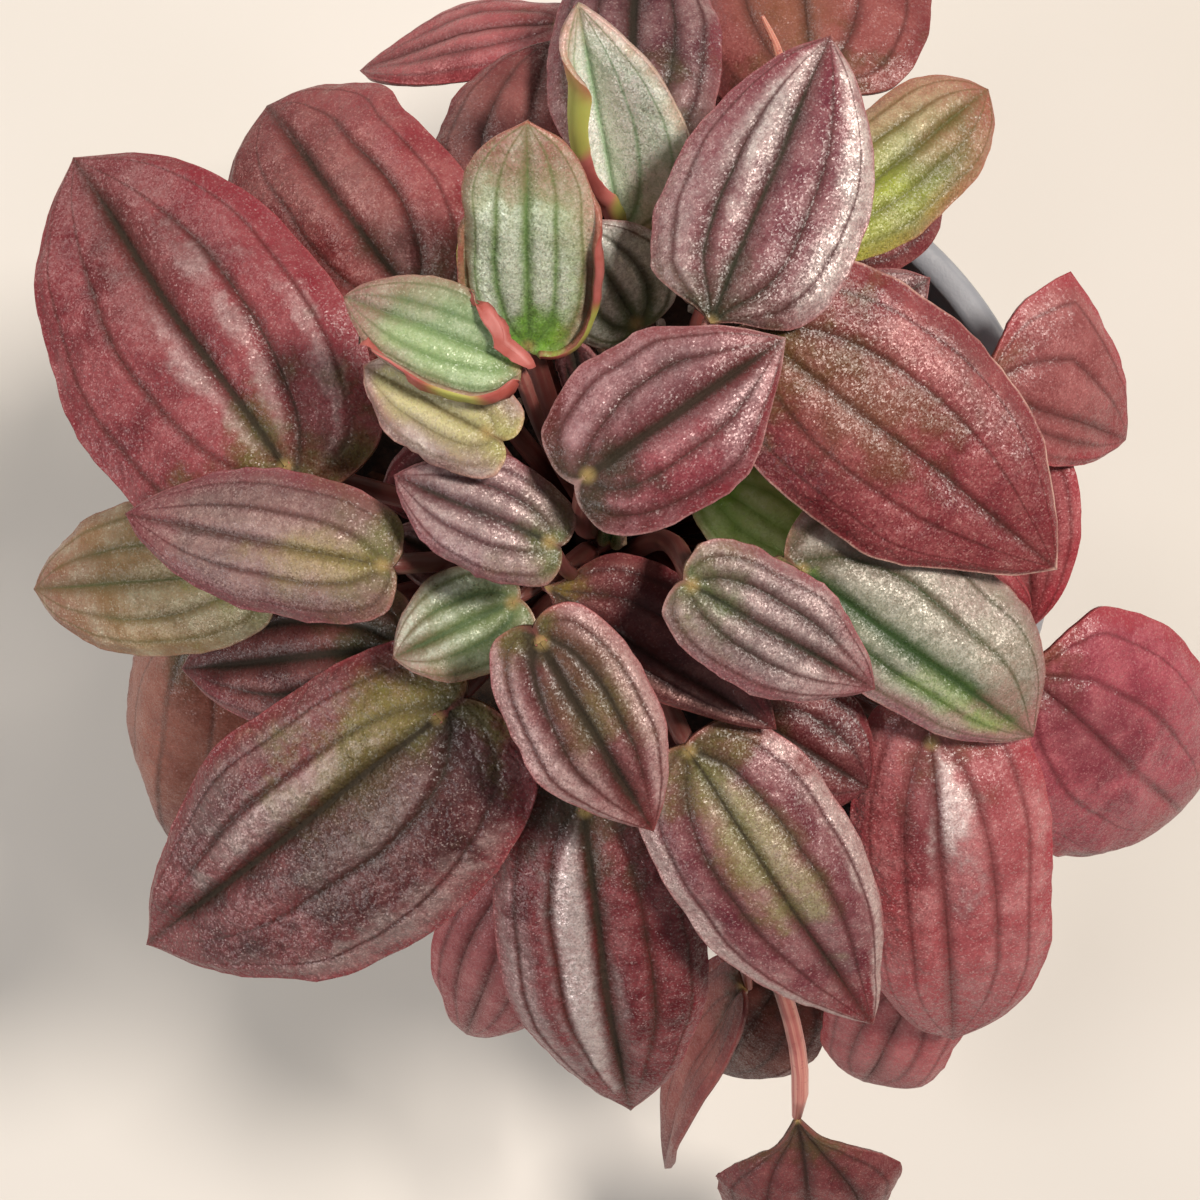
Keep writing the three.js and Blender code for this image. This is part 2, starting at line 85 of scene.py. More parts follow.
def lay(tree, skin, colour, value, *steps):
    # a colour laid over the skin, as strongly as a smooth step of a value says
    return mixColour(tree, fade(tree, value, *steps), skin, colour)


def compute(tree, operation, *values):
    return addNode(tree, "ShaderNodeMath", {"operation": operation}, dict(enumerate(values)))


def times(tree, a, b):
    return compute(tree, "MULTIPLY", a, b)


def plus(tree, a, b):
    return compute(tree, "ADD", a, b)


def vectorMath(tree, operation, *values):
    return addNode(tree, "ShaderNodeVectorMath", {"operation": operation}, dict(enumerate(values)))


def clouds(tree, place, scale, detail=2.0, **more):
    inputs = {"Vector": place, "Scale": scale, "Detail": detail, **more}
    return addNode(tree, "ShaderNodeTexNoise", None, inputs)


def stretch(tree, place, scale):
    return addNode(tree, "ShaderNodeMapping", None, {"Vector": place, "Scale": scale})


def relief(tree, height, strength, distance, under=None):
    # bump of a height given in metres, laid over another one if that is given
    inputs = {"Height": height, "Strength": strength, "Distance": distance}
    if under:
        inputs["Normal"] = under
    return addNode(tree, "ShaderNodeBump", None, inputs)


def uvMap(tree, name):
    return addNode(tree, "ShaderNodeUVMap", {"uv_map": name})


def uvParts(tree, name):
    parts = addNode(tree, "ShaderNodeSeparateXYZ", None, {0: uvMap(tree, name)})
    return (parts, 0), (parts, 1)


def newMaterial(name):
    # a material, its node tree, its shader and the object's own coordinates
    material = bpy.data.materials.new(name)
    material.use_nodes = True
    tree = material.node_tree
    tree.nodes.clear()
    shader = addNode(tree, "ShaderNodeBsdfPrincipled")
    addNode(tree, "ShaderNodeOutputMaterial", None, {"Surface": shader})
    return material, tree, shader, (addNode(tree, "ShaderNodeTexCoord"), "Object")


def makeObject(name, bm, materials=(), rounded=True):
    mesh = bpy.data.meshes.new(name)
    bm.to_mesh(mesh)
    bm.free()
    for material in materials:
        mesh.materials.append(material)
    for face in mesh.polygons:
        face.use_smooth = rounded
    made = bpy.data.objects.new(name, mesh)
    bpy.context.collection.objects.link(made)
    return made


def finishPiece(name, bm, materials, nodes=(), rounded=True):
    piece = makeObject(name, bm, materials, rounded)
    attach(piece, "root")
    if nodes:
        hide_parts(*nodes)
    return piece


def shapeGrid(bm, columns, rows, place, uvNames=("surface",)):
    # a sheet whose vertices are moved one by one: place(u, v) gives the point and a uv for each uv map
    made = bmesh.ops.create_grid(bm, x_segments=columns, y_segments=rows, size=0.5)["verts"]
    spots = {}
    for vert in made:
        u, v = (min(max(c + 0.5, 0.0), 1.0) for c in vert.co[:2])
        vert.co, spots[vert] = place(u, v)
    layers = [bm.loops.layers.uv.get(name) or bm.loops.layers.uv.new(name) for name in uvNames]
    for face in {face for vert in made for face in vert.link_faces}:
        for loop in face.loops:
            for layer, uv in zip(layers, spots[loop.vert]):
                loop[layer].uv = uv
    bmesh.ops.remove_doubles(bm, verts=made, dist=2e-6)


def turnFaces(bm, up):
    # an open sheet shows its upper side towards up
    bm.normal_update()
    if sum(face.normal.dot(up) for face in bm.faces) < 0:
        bmesh.ops.reverse_faces(bm, faces=bm.faces[:])


def spline(p0, p1, p2, p3, u):
    # a smooth curve through four points, from p1 at 0 to p2 at 1
    return 0.5 * (2 * p1 + (p2 - p0) * u + (2 * p0 - 5 * p1 + 4 * p2 - p3) * u * u
                  + (3 * p1 - p0 - 3 * p2 + p3) * u ** 3)


def ease(low, high, value):
    share = max(0.0, min(1.0, (value - low) / (high - low)))
    return share * share * (3 - 2 * share)


# camera in millimetres, lamps and floor in metres
studio = {
    "eye": (18, 10.4, 425),
    "target": (-9.7, -10.4, 95),
    "lens": 69.3,
    "floor": "#cfcac4",
    "floorPatch": "#cac5be",
    "floorMottle": 9.0,
    "floorFlat": 1.3,
    "floorReach": 3.4,
    "floorHeight": 1.7,
    "floorSteps": (72, 36),
    "sky": "#f1efee",
    "skyStrength": 0.23,
    "aim": (0, 0, 0.1),
    # place, width, watts and colour
    "lamps": {
        "skylight": ((-0.7, 0.7, 0.62), 0.4, 4.0, "#fffaf3"),
        "leftWindow": ((-0.75, -0.5, 0.75), 0.5, 6.0, "#fbf8f6"),
        "rightWindow": ((0.56, 0.27, 0.98), 0.24, 15.5, "#fff6ec"),
    },
}


def makeCamera():
    eye = Vector(studio["eye"]) * mm
    forward = (Vector(studio["target"]) * mm - eye).normalized()
    # its right side has no y, so that the frame's y axis stands upright in the view
    right = Vector((-forward.z, 0, forward.x)).normalized()
    if right.x < 0:
        right.negate()
    up = right.cross(forward)
    data = bpy.data.cameras.new("camera")
    data.sensor_width = 36
    data.lens = studio["lens"]
    data.clip_start = 0.01
    camera = bpy.data.objects.new("camera", data)
    axes = Matrix((right, up, -forward)).transposed().to_4x4()
    camera.matrix_world = Matrix.Translation(eye) @ axes
    bpy.context.collection.objects.link(camera)
    bpy.context.scene.camera = camera


def makeLight(name, place, width, power, colour):
    data = bpy.data.lights.new(name, "AREA")
    data.shape = "DISK"
    data.size = width
    data.energy = power
    data.color = linear(colour)[:3]
    lamp = bpy.data.objects.new(name, data)
    lamp.location = Vector(place)
    aim = Vector(studio["aim"]) - lamp.location
    lamp.rotation_euler = aim.to_track_quat("-Z", "Y").to_euler()
    bpy.context.collection.objects.link(lamp)


def makeFloor():
    # a round sheet, flat about the plant and swept up far away, so that it fills low views too
    flat, reach = studio["floorFlat"], studio["floorReach"]

    def place(u, v):
        r = reach * v
        rise = max(0.0, r - flat) / (reach - flat)
        angle = u * math.tau
        height = studio["floorHeight"] * rise ** 2
        return Vector((r * math.cos(angle), r * math.sin(angle), height)), ((u, v),)

    bm = bmesh.new()
    shapeGrid(bm, *studio["floorSteps"], place)
    turnFaces(bm, Vector((0, 0, 1)))
    # flat emulsion: no gloss, faint roller mottle
    material, tree, shader, place = newMaterial("matt wall paint")
    mottle = fade(tree, clouds(tree, place, studio["floorMottle"]), 0.3, 0.7)
    paint = mixColour(tree, mottle, studio["floor"], studio["floorPatch"])
    setSockets(tree, shader, {"Base Color": paint, "Roughness": 0.85})
    floor = makeObject("floor", bm, [material])


def makeStudio():
    makeCamera()
    for name, lamp in studio["lamps"].items():
        makeLight(name, *lamp)
    world = bpy.data.worlds.new("room")
    bpy.context.scene.world = world
    world.use_nodes = True
    back = world.node_tree.nodes["Background"]
    setSockets(world.node_tree, back, {"Color": studio["sky"], "Strength": studio["skyStrength"]})
    makeFloor()
    bpy.context.scene.view_settings.view_transform = "Standard"


makeStudio()
print("studio ready")


# the blades' plain form, the same as in the solids that they replace
bladeForm = {
    "thickness": 0.9,
    "furrows": {"large": (0, 0.36, 0.7), "middle": (0, 0.36, 0.7), "small": (0, 0.5)},
    "rows": {"large": 8, "middle": 7, "small": 6},
    "rowEase": 0.95,  # rows lie a little closer at the tip
    "ridge": 0.13,
    "ridgePower": 0.75,
    "marginRidge": 0.35,  # how much of the last ridge is left at the margin
    "ridgeEnds": (0.16, 0.3),
    "midribEase": 1.15,
    "midribWidth": 0.16,
    "cornerAt": 0.52,
    "wave": 0.4,
    "waves": 3,
    "wavePhase": 2,
    # the outline from stalk point to tip: share of lobe depth, of length, of half width, of the taper
    "outline": [
        (0, 0, 0, 0),
        (-0.62, 0, 0.2, 0.62),
        (-1, 0, 0.48, 1),
        (-0.9, 0.03, 0.76, 1.3),
        (-0.25, 0.16, 0.94, 1.05),
        (0, 0.34, 1, 0.5),
        (0, 0.54, 0.94, 0.2),
        (0, 0.73, 0.73, 0),
        (0, 0.9, 0.37, 0),
        (0, 1, 0, 0),
    ],
    "pointFrom": 6,  # the outline's points after this one are narrowed towards the tip
    # how far the two lobes close behind the stalk point, for the first points of the outline
    "lobeClosing": (0, 1.0, 0.42, 0.12),
    "closedLobe": 0.02,  # blades with deeper lobes have them closed
}

# what makeLeaf takes for a leaf unless it is told otherwise
leafDefaults = {
    "size": "middle",
    "lobe": 0.11,  # depth of the heart's lobes against its length; below zero, the blade tapers
    "point": 0,  # how much narrower the blade is before its tip
    "side": 0,  # how much wider the left half is
    "corner": 0,  # how far the left half is drawn out to a corner
    "bend": 30,  # degrees along the blade, then across it
    "arch": 25,
    "fold": 0,  # degrees that the halves stand up from the midrib, and that the blade is turned about it
    "roll": 0,
    "crimp": 0.012,  # how ragged the margin is
    "rise": 26,  # how far the stalk climbs before it turns out, and how far it runs on into the blade's way
    "reach": 16,
    "stalk": None,  # the stalk's way at the blade
    # rolled margins: side, start and end along it, length, radius, how far in they roll, share of height
    "curls": (),
}


def outlineAt(s, lobe, point, shut=0):
    # how far along and how far out the margin lies
    outline = bladeForm["outline"]
    closing = bladeForm["lobeClosing"]
    last = len(outline) - 1
    # where the lobes meet, the outline starts behind the stalk point, at the end of their seam
    place = min(shut + s * (last - shut), last - 1e-9)
    i = int(place)

    def pick(k):
        a, b, c, taper = outline[max(0, min(last, k))]
        narrow = point if bladeForm["pointFrom"] < k < last else 0
        if 0 < k < len(closing):
            c *= 1 - shut * closing[k]
        return (b + (-taper if lobe < 0 else a) * lobe, c - narrow)

    p0, p1, p2, p3 = pick(i - 1), pick(i), pick(i + 1), pick(i + 2)
    return [spline(p0[k], p1[k], p2[k], p3[k], place - i) for k in (0, 1)]


def ridgeAt(t, furrows):
    at = abs(t)
    stops = list(furrows) + [1]
    k = 0
    while k < len(stops) - 2 and at > stops[k + 1]:
        k += 1
    u = min(1, (at - stops[k]) / (stops[k + 1] - stops[k]))
    rise = max(0.0, math.sin(math.pi * u)) ** bladeForm["ridgePower"]
    low = bladeForm["marginRidge"]
    return low + (1 - low) * rise if k == len(stops) - 2 and u > 0.5 else rise


def bladePoint(leaf, s, t, ridge=0, extra=0.0):
    # a point of the blade's upper face in millimetres, its normal, how far across and how far along it
    # lies: s from stalk to tip, t from the right margin at -1 to the left one at 1, lifted by the
    # solid's ridges and by an extra
    form = bladeForm
    half = leaf["width"] / 2 * (1 - leaf["side"] if t < 0 else 1 + leaf["side"])
    mx, plain = outlineAt(s, leaf["lobe"], leaf["point"], leaf["shut"])
    corner = leaf["corner"] if t > 0 else 0
    my = plain * (1 - corner) + corner * min(s / form["cornerAt"], (1 - s) / (1 - form["cornerAt"]))
    mid = s ** form["midribEase"]
    at = abs(t)
    along = (mid + (mx - mid) * at) * leaf["arc"]
    across = my * at * half
    envelope = min(1, s / form["ridgeEnds"][0]) * min(1, (1 - s) / form["ridgeEnds"][1])
    phase = 0 if t > 0 else form["wavePhase"]
    lift = form["wave"] * math.sin(form["waves"] * math.pi * s + phase) * at ** 3 * envelope
    if ridge:
        lift += ridgeAt(t, leaf["furrows"]) * ridge * my * half * envelope
    turn = -leaf["arch"] / half
    start = leaf["fold"]
    lean = start + turn * across
    if abs(turn) < 1e-6:
        side, rise = across * math.cos(start), across * math.sin(start)
    else:
        side = (math.sin(lean) - math.sin(start)) / turn
        rise = (math.cos(start) - math.cos(lean)) / turn
    # the two halves share one direction at the midrib, so that a deep furrow doesn't cross itself
    tilt = lean * min(1, across / (form["midribWidth"] * half))
    sign = -1 if t < 0 else 1
    y = sign * (side - math.sin(lean) * lift - math.sin(tilt) * extra)
    z = rise + math.cos(lean) * lift + math.cos(tilt) * extra
    bend = leaf["bend"]
    pitch = bend / 2 - bend * along / leaf["arc"]
    if abs(bend) > 1e-6:
        k = bend / leaf["arc"]
        x0 = (math.sin(bend / 2) - math.sin(pitch)) / k
        z0 = (math.cos(pitch) - math.cos(bend / 2)) / k
    else:
        x0, z0 = along, 0
    forward, left, up = leaf["axes"]
    point = leaf["base"] + forward * (x0 - math.sin(pitch) * z) + left * y + up * (z0 + math.cos(pitch) * z)
    if at < 1e-9:
        normal = forward * -math.sin(pitch) + up * math.cos(pitch)
    else:
        normal = (forward * (-math.sin(pitch) * math.cos(lean)) + left * (-sign * math.sin(lean))
                  + up * (math.cos(pitch) * math.cos(lean)))
    return point, normal, my * half, along


def makeLeaf(name, base, tip, width, kind="burgundy", **given):
    leaf = {"name": name, "width": width, "kind": kind, **leafDefaults, **given, "shut": 0}
    leaf["base"] = Vector(base)
    chord = Vector(tip) - leaf["base"]
    forward = chord.normalized()
    flatLeft = Vector((0, 0, 1)).cross(forward).normalized()
    flatUp = forward.cross(flatLeft)
    roll = math.radians(leaf["roll"])
    left = flatLeft * math.cos(roll) + flatUp * math.sin(roll)
    leaf["axes"] = (forward, left, forward.cross(left))
    for angle in ("bend", "arch", "fold"):
        leaf[angle] = math.radians(leaf[angle])
    half = abs(leaf["bend"]) / 2
    leaf["arc"] = chord.length * half / math.sin(half) if half > 1e-6 else chord.length
    leaf["furrows"] = bladeForm["furrows"][leaf["size"]]
    # the lowest point of this blade's solid, as if it hadn't been stacked on the others
    stops = list(leaf["furrows"]) + [1]
    halfColumns = sorted({0, *stops, *[(a + b) / 2 for a, b in zip(stops, stops[1:])]})
    columns = [-c for c in halfColumns[:0:-1]] + halfColumns
    last = bladeForm["rows"][leaf["size"]] - 1
    lowest = math.inf
    for i in range(last + 1):
        s = (i / last) ** bladeForm["rowEase"]
        for t in ([0] if i in (0, last) else columns):
            point, normal, _, _ = bladePoint(leaf, s, t, bladeForm["ridge"])
            lowest = min(lowest, point.z, point.z - normal.z * bladeForm["thickness"])
    # the solids were stacked so that no blade meets another: this one rises to the place of its solid
    leaf["base"].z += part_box("leaf_" + name)[0].z / mm - lowest
    leaf["shut"] = 1 if leaf["lobe"] > bladeForm["closedLobe"] else 0
    return leaf


# stalk point, tip and width in millimetres, from the lowest leaf to the highest
leaves = [
    makeLeaf("hanging", (19, -94, 66), (23, -126, 38), 33, "dark", bend=40, arch=40, lobe=-0.2,
             stalk=(-0.1, -0.7, -0.65), rise=50, reach=40),
    makeLeaf("front_low", (16, -70, 77), (6, -89, 57), 24, "dark", bend=40, lobe=0.04, size="small",
             stalk=(0.05, -0.55, -0.8), rise=62, reach=46),
    makeLeaf("edge_low", (11, -67, 92), (-2, -103, 64), 15, "dark", bend=25, fold=20, roll=65, lobe=0.02,
             size="small", stalk=(0.1, -0.85, -0.4), rise=46, reach=22),
    makeLeaf("front_rose", (35, -66, 98), (29, -85, 76), 21, "rose", bend=40, point=-0.1, size="small",
             stalk=(0.3, -0.9, -0.25), rise=42, reach=20),
    makeLeaf("front_left_low", (-19, -50, 103), (-32, -79, 76), 21, "rose", bend=45),
    makeLeaf("left_low", (-67, -16, 108), (-78, -50, 76), 32, "dark", bend=40, fold=-20, roll=20),
    makeLeaf("right_edge", (50, 10, 105), (51, -14, 99), 14, "rose", bend=10, arch=0, size="small"),
    makeLeaf("right_tip", (30, -2, 110), (51, -11, 98), 14, "rose", size="small"),
    makeLeaf("skirt_left", (-42, 22, 112), (-62, 38, 97), 24, "dark", bend=40, size="small"),
    makeLeaf("skirt_front_left", (-42, -32, 108), (-58, -52, 86), 22, "dark", bend=45, size="small"),
    makeLeaf("skirt_back_left", (-24, 38, 110), (-36, 53, 95), 22, "dark", size="small"),
    makeLeaf("skirt_back", (2, 48, 110), (3, 69, 95), 20, "dark", size="small"),
    makeLeaf("skirt_back_right", (25, 40, 108), (37, 52, 96), 18, "dark", size="small"),
    makeLeaf("skirt_front", (-4, -40, 110), (-8, -60, 97), 20, "dark", size="small"),
    makeLeaf("right_fold", (42, 19, 116), (64, 12.5, 97), 26, "rose", bend=50, arch=10, side=0.47, lobe=-0.05,
             corner=0.9),
    makeLeaf("right_large", (48, -18, 119), (74, -41, 88), 36, "rose", bend=60, lobe=-0.03, point=-0.12,
             size="large"),
    makeLeaf("front_right", (36, -27, 122), (41, -73, 95), 28, "rose", bend=50, point=-0.1, side=0.12,
             size="large"),
    makeLeaf("back_right_far", (20, 62, 112), (17, 93, 92), 36, "dark", bend=40, size="large"),
    makeLeaf("back_left_far", (-14, 69, 108), (-44, 65, 96), 16, "rose", roll=40),
    makeLeaf("back_brown", (-20, 39, 123), (-15, 66, 110), 25, "dark"),
    makeLeaf("back_purple", (-3, 52, 128), (-3, 79, 115), 24, "purple"),
    makeLeaf("under_top_right", (15, 20, 118), (36, 34, 112), 16, "purple", size="small"),
    makeLeaf("back_green", (23, 41, 125), (43, 58, 117), 18, "lime", point=-0.12),
    makeLeaf("under_left", (-26, 9, 106), (-40, 4, 104), 13, "purple", size="small"),
    makeLeaf("under_centre_left", (-24, -6, 115), (-37, 0, 113), 11, "silver", size="small"),
    makeLeaf("left_purple", (-35, -15, 126), (-66, -19, 114), 22, "purple", point=0.05),
    makeLeaf("left_green", (-54, -5, 128), (-86, -8, 116), 22, "green", point=-0.06),
    makeLeaf("front_dark", (14, -24, 124), (28, -33, 120), 20, "dark", size="small"),
    makeLeaf("under_right_green", (8, 6, 122), (24, -4, 120), 14, "green", size="small"),
    makeLeaf("upper_left", (-31, 31, 131), (-54, 58, 111), 31, bend=40, point=-0.2, size="large"),
    makeLeaf("front_large", (-9, -36, 128), (-5, -84, 98), 30, bend=45, point=0.08, size="large"),
    makeLeaf("left_front_large", (-27, -23, 136), (-72, -58, 112), 38, bend=40, side=0.2, point=0.09,
             size="large"),
    makeLeaf("new_folded", (-4, 38, 128), (-8, 64, 147), 18, "silver", bend=-10, fold=30, arch=20, lobe=-0.05,
             side=-0.25, curls=((1, 0.1, 0.86, 5.2, 1.6, 2.5, 1.0),)),
    makeLeaf("dark_small", (-2, 27, 131), (-9, 39, 139), 18, "silver", size="small"),
    makeLeaf("new_purple", (-9, 18, 128), (-10, 25, 136), 6, "purple", size="small", bend=5),
    makeLeaf("bud", (-6, -1, 124), (-4, 3, 137), 4, "green", size="small", bend=0, fold=30),
    makeLeaf("upper_green", (-15, 24, 136), (-13, 49, 154), 17, "green", bend=15, lobe=0.05, point=-0.2,
             curls=((-1, 0.05, 0.7, 3.4, 1.2, 0.0, 0.5), (1, 0.08, 0.62, 1.9, 0.65, 0.0, 0.5))),
    makeLeaf("right_green", (19, -4, 134), (49, -26, 123), 24, "green", point=-0.1, side=0.3,
             stalk=(0.4, 0.5, 0.8)),
    makeLeaf("front_small_green", (-17, -8, 139), (-32, -15, 140), 15, "green", size="small"),
    makeLeaf("front_right_large", (5, -27, 135), (29, -66, 117), 26, bend=40, lobe=0.03, point=0.08,
             size="large"),
    makeLeaf("centre_brown", (-13, -6, 139), (16, -24, 136), 16, "dark", lobe=-0.08, point=0.05, side=0.35),
    makeLeaf("right_top_large", (15, 24, 142), (51, -4, 129), 31, side=0.08, point=0.05, size="large"),
    makeLeaf("upper_right", (8, 26, 145), (22, 60, 143), 26, "silver", bend=15, lobe=-0.05, side=-0.06,
             point=0.02, size="large"),
    makeLeaf("left_large", (-46, 9, 138), (-78, 50, 121), 40, arch=18, side=0.05, size="large", rise=36,
             reach=20),
    makeLeaf("left_middle", (-32, -3, 147), (-66, 3, 140), 19, "purple", lobe=0.06, point=0.04, crimp=0.02),
    makeLeaf("centre_left", (-11, 0, 151), (-30, 8, 150), 15, "purple", crimp=0.03, point=0.05, size="small"),
    makeLeaf("centre_pale", (-18, 13, 151), (-33, 21, 149), 14, "lime", crimp=0.03, lobe=0.2, size="small"),
    makeLeaf("new_curled", (-14, 21, 154), (-35, 29, 152), 13, "green", fold=15, lobe=0.03, size="small",
             curls=((-1, -0.05, 0.5, 4.4, 1.3, 1.8, 0.13), (1, 0.12, 0.8, 2.6, 0.75, 0.1, 0.2))),
    makeLeaf("centre_right", (6, -5, 152), (28, -18, 144), 17, "silver", lobe=0.07, point=0.05, crimp=0.025,
             stalk=(0.2, -0.6, 0.8)),
    makeLeaf("centre_front", (-12, -12, 152), (1, -36, 143), 19, point=0.06, stalk=(0.1, 0.35, 0.93)),
    makeLeaf("centre_heart", (-6, 8, 157), (17, 24, 155), 23, point=0.1, size="large"),
]


# the skin of each kind of leaf: ridge and deep are the puffed skin, furrow the sunken veins' dark colour
# with painted crease shade in it, heart the zone round the stalk point, tip the zone at the point, silver the
# air-filled skin's silvery tone, partly painted sheen, rim the broad zone along the margin, edge its thin
# line, under the lower face; furrows is their depth
leafKinds = {
    "burgundy": dict(ridge="#74222a", deep="#4b1319", furrow="#241c10", heart="#5e5a2a", heartReach=0.2,
        tip="#661c22", tipReach=0.18, silver="#dbb8ae", silverAndSheenAmount=0.17, rim="#6f2028", edge="#94494a",
        under="#7d3a38", mirror=0.7, coat=0.18, furrows=1),
    "rose": dict(ridge="#9b4c50", deep="#82383d", furrow="#3d1a17", heart="#644228", heartReach=0.16,
        tip="#771e29", tipReach=0.2, silver="#dca8a4", silverAndSheenAmount=0.14, rim="#8d2a35", edge="#9c4547",
        under="#934a45", mirror=0.6, coat=0.22, furrows=0.6),
    "dark": dict(ridge="#682a2e", deep="#4c1a1f", furrow="#271710", heart="#4e4424", heartReach=0.18,
        tip="#56181f", tipReach=0.2, silver="#c0968c", silverAndSheenAmount=0.12, rim="#651f25", edge="#82423f",
        under="#7d4a42", mirror=0.6, coat=0.2, furrows=0.75),
    "purple": dict(ridge="#5f2a32", deep="#3b1620", furrow="#1f1c12", heart="#585c30", heartReach=0.26,
        tip="#64232c", tipReach=0.2, silver="#cdbbb6", silverAndSheenAmount=0.3, rim="#6e2d36", edge="#96585a",
        under="#7a4340", mirror=0.5, coat=0.12, furrows=1),
    "silver": dict(ridge="#653a3f", deep="#402328", furrow="#202213", heart="#5a6c38", heartReach=0.36,
        tip="#702d36", tipReach=0.22, silver="#e0d6d0", silverAndSheenAmount=0.42, rim="#7b3b42", edge="#9c5f5e",
        under="#8a443f", mirror=0.4, coat=0.09, furrows=1),
    "green": dict(ridge="#64823f", deep="#44632b", furrow="#2c531a", heart="#76ac2c", heartReach=0.24,
        tip="#83494a", tipReach=0.34, silver="#ccd6ba", silverAndSheenAmount=0.46, rim="#7d6148", edge="#94574f",
        under="#8f4036", mirror=0.3, coat=0.08, furrows=0.75),
    "lime": dict(ridge="#8f8f46", deep="#6a702e", furrow="#51501f", heart="#a8b440", heartReach=0.36,
        tip="#8a4b45", tipReach=0.32, silver="#cfc9a2", silverAndSheenAmount=0.36, rim="#8f5c46", edge="#9c5a4b",
        under="#96463b", mirror=0.3, coat=0.08, furrows=0.8),
}
